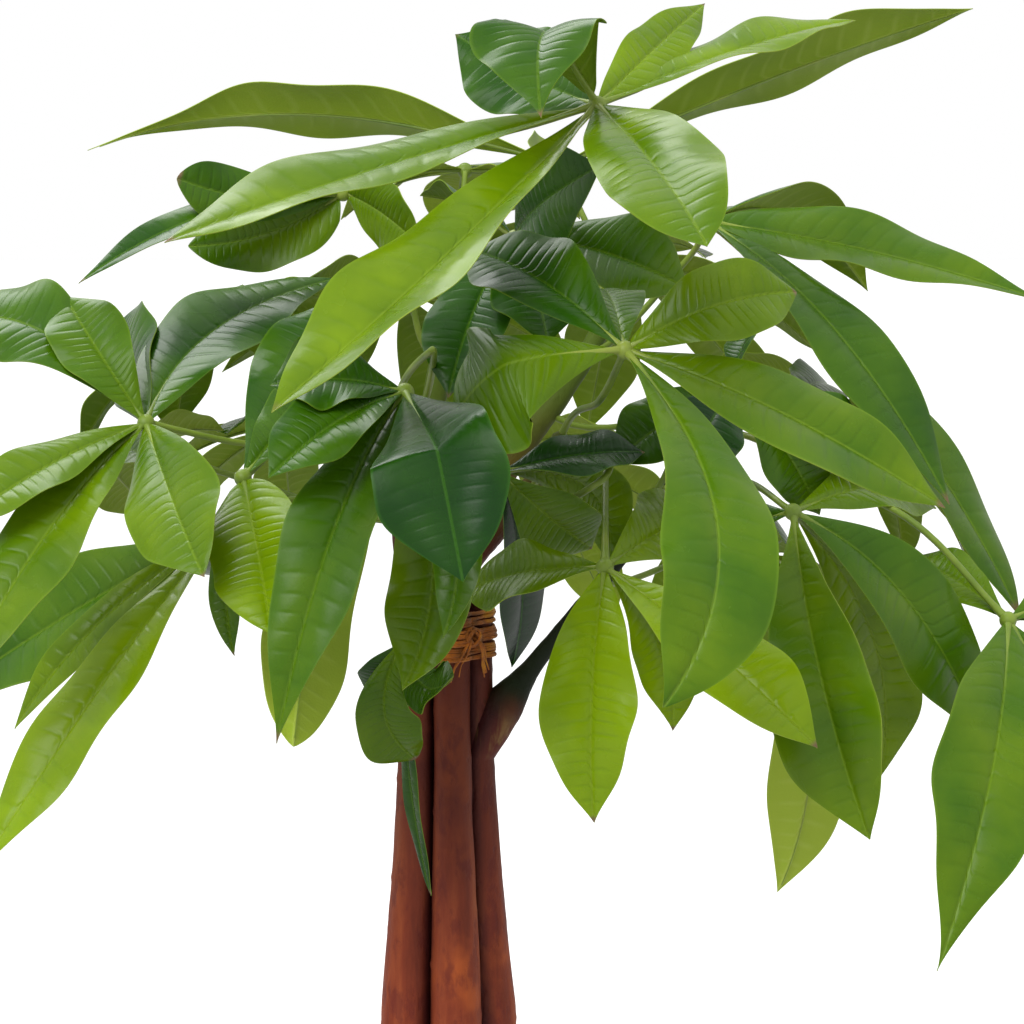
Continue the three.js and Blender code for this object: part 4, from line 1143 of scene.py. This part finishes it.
def bark_marks(name, spots, normals):
    """From 0 to 1 at each point: in the groove between two stems, which gets painted shade, on the fork's
    knob, and on its slim shoot, whose green gets painted shade too.
    """
    heights = spots[:, 2]
    angles = np.array([math.radians(STEM_ANGLES[name]) + twist_at(z) for z in heights])
    outward = normals[:, 0] * np.cos(angles) + normals[:, 1] * np.sin(angles)
    # the groove mask says where the bark gets painted shade, between two stems below the tie
    below_tie = np.clip((TIE_BOTTOM + 8 - heights) / 12, 0, 1)
    marks = {"groove": np.clip((0.3 - outward) / 0.55, 0, 1) * below_tie}
    marks["knob"] = np.zeros(len(spots))
    marks["shaded_green_wood"] = np.zeros(len(spots))
    if name == FORKED_STEM:
        shares = np.linspace(0, 1, SHOOT_STEPS)
        path = np.array([shoot_point(name, share) for share in shares])
        gaps = np.linalg.norm(spots[:, None] - path[None], axis=2)
        nearest = shares[gaps.argmin(axis=1)]
        reach = np.array([shoot_radius(name, share) for share in nearest])
        on_shoot = gaps.min(axis=1) < reach + BARK_RELIEF
        marks["knob"] = on_shoot * np.interp(nearest, *KNOB_BARK)
        marks["shaded_green_wood"] = on_shoot * np.interp(nearest, *SHADED_GREEN_BARK)
    return marks


def scar_height(z, facing):
    """The raised edge of an old leaf scar: half a ring, on sides that alternate up the stem."""
    which = round(z / STEM_NODES)
    away = z - which * STEM_NODES
    side = math.cos(facing - which * SCAR_TURN)
    return SCAR_RISE * max(side, 0) ** 0.5 * math.exp(-((away / SCAR_WIDTH) ** 2))


# ---------------------------------------------------------------- tie


def tie_reach(angle_degrees):
    """How far the outside of the ring of stems is from its axis, in a direction, in the tie's height."""
    middle = (TIE_TOP + TIE_BOTTOM) / 2
    ring = trunk_at(middle, 1)
    radius = trunk_at(middle, 2)
    reach = 0.0
    for angle in STEM_ANGLES.values():
        away = math.radians(angle_degrees - angle)
        inside = radius**2 - (ring * math.sin(away)) ** 2
        if inside > 0:
            reach = max(reach, ring * math.cos(away) + math.sqrt(inside))
    halfway = math.radians(36)  # between two stems, where the cord runs nearly straight
    flat = (ring * math.cos(halfway) + radius) * 0.985
    return max(reach, flat)


def tie():
    """Three turns of raffia, each a flat bundle of fibres, with a knot in front and loose ends below it."""
    chance = random.Random(5)
    rods = []
    pitch = (TIE_TOP - TIE_BOTTOM) / TIE_TURNS
    for turn in range(TIE_TURNS):
        for fibre in range(TIE_FIBRES):
            middle = TIE_BOTTOM + pitch * (turn + 0.5 + 0.78 * ((fibre + 0.5) / TIE_FIBRES - 0.5))
            rods.append(fibre_round(middle, chance))
    rods += knot_rods(chance)
    obj = round_rods("tie_look", rods, FIBRE_SIDES, raffia())
    smooth(obj, 60)
    finished(obj, "tie")


def fibre_round(middle, chance):
    """One fibre's way round the stems, wavering in height and depth, its ends hidden under the knot."""
    phase = chance.uniform(0, 2 * math.pi)
    waver = chance.uniform(0.3, 0.9)
    depth = chance.uniform(0.0, 0.9)
    radius = chance.uniform(0.65, 0.95)
    start = math.degrees(KNOT_ANGLE)
    centres = []
    for angle in np.arange(start, start + 364, 4):
        turned = math.radians(angle)
        reach = tie_reach(angle) + radius + depth + 0.25 * math.sin(5 * turned + phase)
        z = middle + waver * math.sin(2 * turned + phase)
        centres.append([reach * math.cos(turned), reach * math.sin(turned), z])
    return centres, [radius] * len(centres)


def knot_rods(chance):
    """A few short loops over the band and the loose ends that hang from them."""
    middle = (TIE_TOP + TIE_BOTTOM) / 2
    reach = tie_reach(math.degrees(KNOT_ANGLE)) + 2.2
    outward = np.array([math.cos(KNOT_ANGLE), math.sin(KNOT_ANGLE), 0])
    sideways = np.array([-math.sin(KNOT_ANGLE), math.cos(KNOT_ANGLE), 0])
    centre = outward * reach + np.array([0, 0, middle])
    rods = []
    for _ in range(KNOT_LOOPS):
        tilt = chance.uniform(-0.9, 0.9)
        wide = chance.uniform(*KNOT_WIDTHS)
        high = chance.uniform(*KNOT_HEIGHTS)
        rise = chance.uniform(-1.0, 2.2)
        centres = []
        for angle in np.linspace(0, 2 * math.pi, LOOP_POINTS):
            across = wide * math.cos(angle)
            up = high * math.sin(angle)
            spot = centre + outward * (rise + 0.8 * math.cos(2 * angle))
            spot = spot + sideways * (across * math.cos(tilt) - up * math.sin(tilt))
            centres.append(spot + np.array([0, 0, across * math.sin(tilt) + up * math.cos(tilt)]))
        rods.append((centres, [chance.uniform(0.7, 1.0)] * len(centres)))
    for hand in (-1, 1):
        for _ in range(LOOSE_ENDS):
            spread = hand * chance.uniform(*LOOSE_SPREADS)
            drop = chance.uniform(*LOOSE_DROPS)
            bow = chance.uniform(3.0, 6.0)
            centres = []
            for share in np.linspace(0, 1, LOOSE_POINTS):
                spot = centre + outward * bow * math.sin(math.pi * min(share * 1.3, 1)) * 0.6
                spot = spot + sideways * spread * share**0.8
                centres.append(spot - np.array([0, 0, drop * share**1.4]))
            radii = [0.7 * (1 - 0.5 * share) for share in np.linspace(0, 1, LOOSE_POINTS)]
            rods.append((centres, radii))
    return rods


# ---------------------------------------------------------------- leaf blades


def outline(blade, s):
    """Share of the half width at s: narrow at the root, widest near the middle, drawn out to a tip."""
    s = np.clip(s, 0, 1)
    rise, fall = blade["rise"], blade["fall"]
    widest = rise / (rise + fall)
    return (s / widest) ** rise * ((1 - s) / (1 - widest)) ** fall


def blade_form(row):
    """What a blade has apart from its place: its own values, or the ones that most blades share."""
    return dict(
        width=row["width"], fold=row.get("fold", 0), tone=row["tone"],
        slant=row.get("slant", BLADE_SLANT), curl=row.get("curl", BLADE_CURL),
        rise=row.get("rise", BLADE_RISE), fall=row.get("fall", BLADE_FALL),
    )


def blade_from_view(knob, row):
    """A blade: its midrib's ends and bend, its face direction and its form."""
    tip = place(row["tip"])
    along = unit(tip - knob)
    to_viewer = square_to(along, np.array([0, -1.0, 0]))
    sideways = np.cross(along, to_viewer)
    turn = math.radians(row["turn"])
    face = to_viewer * math.cos(turn) + sideways * math.sin(turn)
    middle = (knob + tip) / 2
    if "via" in row:
        bend = 2 * place(row["via"]) - middle
    else:
        bend = middle + face * 2 * row["arch"] * np.linalg.norm(tip - knob)
    return dict(knob=knob, tip=tip, bend=bend, face=face, **blade_form(row))


def fan_blades(leaf):
    """The knob, the way on from the stalk, and the blades of a leaf of the back."""
    azimuth = math.radians(leaf["azimuth"])
    tilt = math.radians(leaf["tilt"])
    outward = np.array([math.cos(azimuth), math.sin(azimuth), 0])
    up = np.array([0, 0, 1.0])
    knob = np.array([FAN_MIDDLE_X, 0, leaf["height"]]) + outward * leaf["reach"]
    face = outward * math.sin(tilt) + up * math.cos(tilt)
    forward = outward * math.cos(tilt) - up * math.sin(tilt)
    sideways = np.cross(face, forward)
    blades = []
    for i in range(leaf["count"]):
        share = 2 * i / (leaf["count"] - 1) - 1
        angle = FAN_HALF_SPREAD * share
        length = leaf["length"] * lerp(1, FAN_SIDE_LENGTH, abs(share))
        width = leaf["width"] * lerp(1, FAN_SIDE_WIDTH, abs(share))
        heading = forward * math.cos(angle) + sideways * math.sin(angle)
        chord = heading * math.cos(FAN_DROOP) - face * math.sin(FAN_DROOP)
        tip = knob + chord * length
        blade_face = square_to(chord, face)
        bend = (knob + tip) / 2 + blade_face * 2 * FAN_ARCH * length
        form = blade_form({"width": width, "tone": leaf["tone"]})
        blades.append(dict(knob=knob, tip=tip, bend=bend, face=blade_face, **form))
    return knob, forward, blades


def midrib(blade, s):
    """Points of the midrib at shares s of it."""
    s = np.asarray(s, float)[:, None]
    knob, bend, tip = blade["knob"], blade["bend"], blade["tip"]
    arc = (1 - s) ** 2 * knob + 2 * s * (1 - s) * bend + s**2 * tip
    crest = 0.25 * knob + 0.5 * bend + 0.25 * tip
    straight = np.where(s < 0.5, knob + (crest - knob) * 2 * s, crest + (tip - crest) * (2 * s - 1))
    return arc + (straight - arc) * blade["fold"]


def blade_axes(blade, s):
    """Along, sideways and face directions of a blade at shares s of its midrib."""
    step = 0.02
    along = unit(midrib(blade, s + step) - midrib(blade, s - step))
    chord = unit(blade["tip"] - blade["knob"])
    side = square_to(along, np.broadcast_to(np.cross(chord, blade["face"]), along.shape))
    return along, side, np.cross(side, along)


def blade_points(blade, row, across, chance):
    """A blade's points, how far each is from the midrib, and how many side veins come before it."""
    length = np.linalg.norm(blade["tip"] - blade["knob"])
    half_width = blade["width"] / 2
    hand = np.tanh(across / 0.06)
    wander = VEIN_WANDER * np.sin(2 * math.pi * (2.3 * row + chance.random()) + 1.7 * hand)
    veins = VEIN_PAIRS * row + VEIN_STAGGER * hand + wander
    ripples = chance.uniform(2.2, 3.4) * row + chance.random()
    wavy = 1 + EDGE_UNEVEN * np.sin(2 * math.pi * ripples + 2 * hand)
    spread = outline(blade, row)
    reach = (half_width * spread * drawn_tip(row) + BLADE_ROOT * np.sqrt(1 - row)) * wavy
    s = row + reach * np.abs(across) ** 1.4 * VEIN_LEAN / length * (1 - row)
    _, side, face = blade_axes(blade, s)
    slant = np.radians(blade["slant"] + chance.uniform(-5, 5) + 5 * hand * chance.uniform(-1, 1))
    rise = reach * (np.abs(across) * np.sin(slant) - blade["curl"] * across**2)
    inner = np.sin(math.pi * np.clip(np.abs(across), 0, 1) ** 0.8) ** 0.7
    crest = np.abs(np.sin(math.pi * veins)) ** 0.8
    puffed = QUILT * min(0.2 + 1.2 * blade["tone"], 1.0) * chance.uniform(0.6, 1.2)
    quilt = puffed * np.sqrt(spread) * inner * crest
    groove = RIB_GROOVE * np.exp(-((across * reach / RIB_GROOVE_WIDTH) ** 2)) * (1 - 0.6 * row)
    waves = chance.uniform(1.6, 2.8)
    phase = np.where(across > 0, chance.random(), chance.random())
    wave = EDGE_WAVE * reach * across**2 * np.sin(2 * math.pi * (waves * row + phase))
    lift = rise + quilt - groove + wave
    spots = midrib(blade, s) + side * (reach * across * np.cos(slant))[:, None] + face * lift[:, None]
    return spots, np.abs(across) * reach, veins


def drawn_tip(row):
    """Narrows the last stretch of a blade, so that it ends in a drawn-out point."""
    return 1 - TIP_DRAW * np.exp(-(1 - row) / 0.07)


def flat_blade():
    """One flat blade, the start of all: its rows run with the side veins and its columns with the midrib."""
    bpy.ops.object.select_all(action="DESELECT")
    bpy.ops.mesh.primitive_grid_add(
        x_subdivisions=VEIN_PAIRS * ROWS_PER_VEIN, y_subdivisions=BLADE_COLUMNS, size=2
    )
    first = bpy.context.object
    for name in ("tone", "from_rib", "vein"):
        first.data.attributes.new(name, "FLOAT", "POINT")
    spots = np.array([vertex.co for vertex in first.data.vertices], float)
    row = (spots[:, 0] + 1) / 2
    across = -spots[:, 1] * (0.3 + 0.7 * np.abs(spots[:, 1]))
    return first, row, across


def shaped_blade(start, blade, chance):
    """A copy of the flat blade, bent to its place."""
    first, row, across = start
    length = np.linalg.norm(blade["tip"] - blade["knob"])
    begin = 0.6 * KNOB_RADIUS / length
    obj = first.copy()
    obj.data = first.data.copy()
    bpy.context.collection.objects.link(obj)
    spots, from_rib, veins = blade_points(blade, begin + (0.999 - begin) * row, across, chance)
    obj.data.vertices.foreach_set("co", (spots * MM).ravel())
    marks = {"tone": np.full(len(row), blade["tone"]), "from_rib": from_rib, "vein": veins}
    for name, values in marks.items():
        obj.data.attributes[name].data.foreach_set("value", values.astype(np.float32))
    obj.data.update()
    return obj


def rib_rod(blade):
    """The rib under a blade: a short stalk at the knob, then thinner and thinner, half sunk in the blade."""
    s = np.linspace(0, 0.97, 30)
    _, _, face = blade_axes(blade, s)
    scale = (blade["width"] / 50) ** 0.5
    radii = (RIB_TIP_RADIUS + (RIB_RADIUS - RIB_TIP_RADIUS) * (1 - s) ** 2.0) * scale
    swollen = 0.8 * np.exp(-((s / 0.025) ** 2))
    sunk = np.clip((s - 0.02) / 0.1, 0, 1) * (BLADE_THICKNESS + RIB_GROOVE + 0.5 * radii)
    return midrib(blade, s) - face * sunk[:, None], radii + swollen


# ---------------------------------------------------------------- leaf stalks and whole leaves


def smooth_through(places, steps):
    """Points on a Catmull-Rom curve from the second to the last but one of the places."""
    points = []
    for i in range(1, len(places) - 2):
        a, b, c, d = places[i - 1 : i + 3]
        for t in np.arange(steps) / steps:
            square = (2 * a - 5 * b + 4 * c - d) * t**2
            cube = (3 * b - a - 3 * c + d) * t**3
            points.append(0.5 * (2 * b + (c - a) * t + square + cube))
    points.append(places[-2])
    return np.array(points)


def stalk_rod(leaf, through, arriving):
    """A leaf's stalk, from inside its shoot to the knob, thicker at both ends."""
    share = leaf["at"]
    centre = shoot_point(leaf["shoot"], share)
    along = shoot_direction(leaf["shoot"], share)
    at_tip = share == 1.0
    leaving = along if at_tip else square_to(along, through[0] - centre)
    clear = 0.0 if at_tip else shoot_radius(leaf["shoot"], share)
    places = [centre + leaving * clear, *through]
    before = places[1] - leaving * STALK_LEAVE * np.linalg.norm(places[1] - places[0])
    gap = np.linalg.norm(places[-1] - places[-2])
    if arriving is None:
        after = 2 * places[-1] - places[-2]
    else:
        after = places[-2] + arriving * STALK_ARRIVE * gap
    points = smooth_through([before, *places, after], STALK_POINTS)
    points = np.vstack([places[0] - leaving * 2.0, points])
    share = np.linspace(0, 1, len(points))
    radii = STALK_RADIUS * (1 - 0.12 * share)
    radii += (STALK_FOOT_RADIUS - STALK_RADIUS) * np.exp(-((share / 0.06) ** 2))
    radii += 0.7 * np.exp(-(((1 - share) / 0.05) ** 2))
    return points, radii


def leaf(leaf_row, start, materials):
    """A compound leaf: its blades, each given a thickness, on their ribs, knob and stalk."""
    chance = random.Random(leaf_row["name"])
    if "hub" in leaf_row:
        knob = place(leaf_row["hub"])
        blades = [blade_from_view(knob, row) for row in leaf_row["blades"]]
        through = [*(place(spot) for spot in leaf_row["stalk"]), knob]
        arriving = None
    else:
        knob, arriving, blades = fan_blades(leaf_row)
        through = [knob]
    shaped = joined([shaped_blade(start, blade, chance) for blade in blades], "blades")
    for material in materials[:2]:
        shaped.data.materials.append(material)
    lower_sides = {"material_offset": 1, "material_offset_rim": 1}
    apply_modifier(shaped, "SOLIDIFY", thickness=BLADE_THICKNESS * MM, offset=-1, **lower_sides)
    rods = [stalk_rod(leaf_row, through, arriving), *(rib_rod(blade) for blade in blades)]
    stalks = round_rods("stalks", rods, STALK_SIDES, materials[2])
    bpy.ops.mesh.primitive_uv_sphere_add(
        segments=KNOB_SIDES, ring_count=KNOB_RINGS, radius=KNOB_RADIUS * MM, location=Vector(knob) * MM,
    )
    ball = bpy.context.object
    bpy.ops.object.transform_apply(location=True)
    ball.data.materials.append(materials[2])
    whole = joined([shaped, stalks, ball], leaf_row["name"] + "_look")
    smooth(whole)
    finished(whole, leaf_row["name"])


def crown():
    """All leaves of the plant."""
    start = flat_blade()
    materials = [upper_leaf(), lower_leaf(), leaf_stalk()]
    for leaf_row in FRONT_LEAVES + BACK_LEAVES:
        leaf(leaf_row, start, materials)
    bpy.data.objects.remove(start[0])


# ---------------------------------------------------------------- the whole plant

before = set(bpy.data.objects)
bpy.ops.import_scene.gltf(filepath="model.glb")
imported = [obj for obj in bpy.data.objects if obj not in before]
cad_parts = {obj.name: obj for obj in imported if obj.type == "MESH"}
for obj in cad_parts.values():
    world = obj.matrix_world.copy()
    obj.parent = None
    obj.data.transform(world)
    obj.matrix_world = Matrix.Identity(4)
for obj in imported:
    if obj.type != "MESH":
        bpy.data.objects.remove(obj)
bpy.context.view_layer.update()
camera()
studio()
pot()
soil()
brown_bark = bark()
for stem_order, stem_name in enumerate(STEM_ANGLES):
    stem(stem_name, stem_order, brown_bark)
tie()
crown()
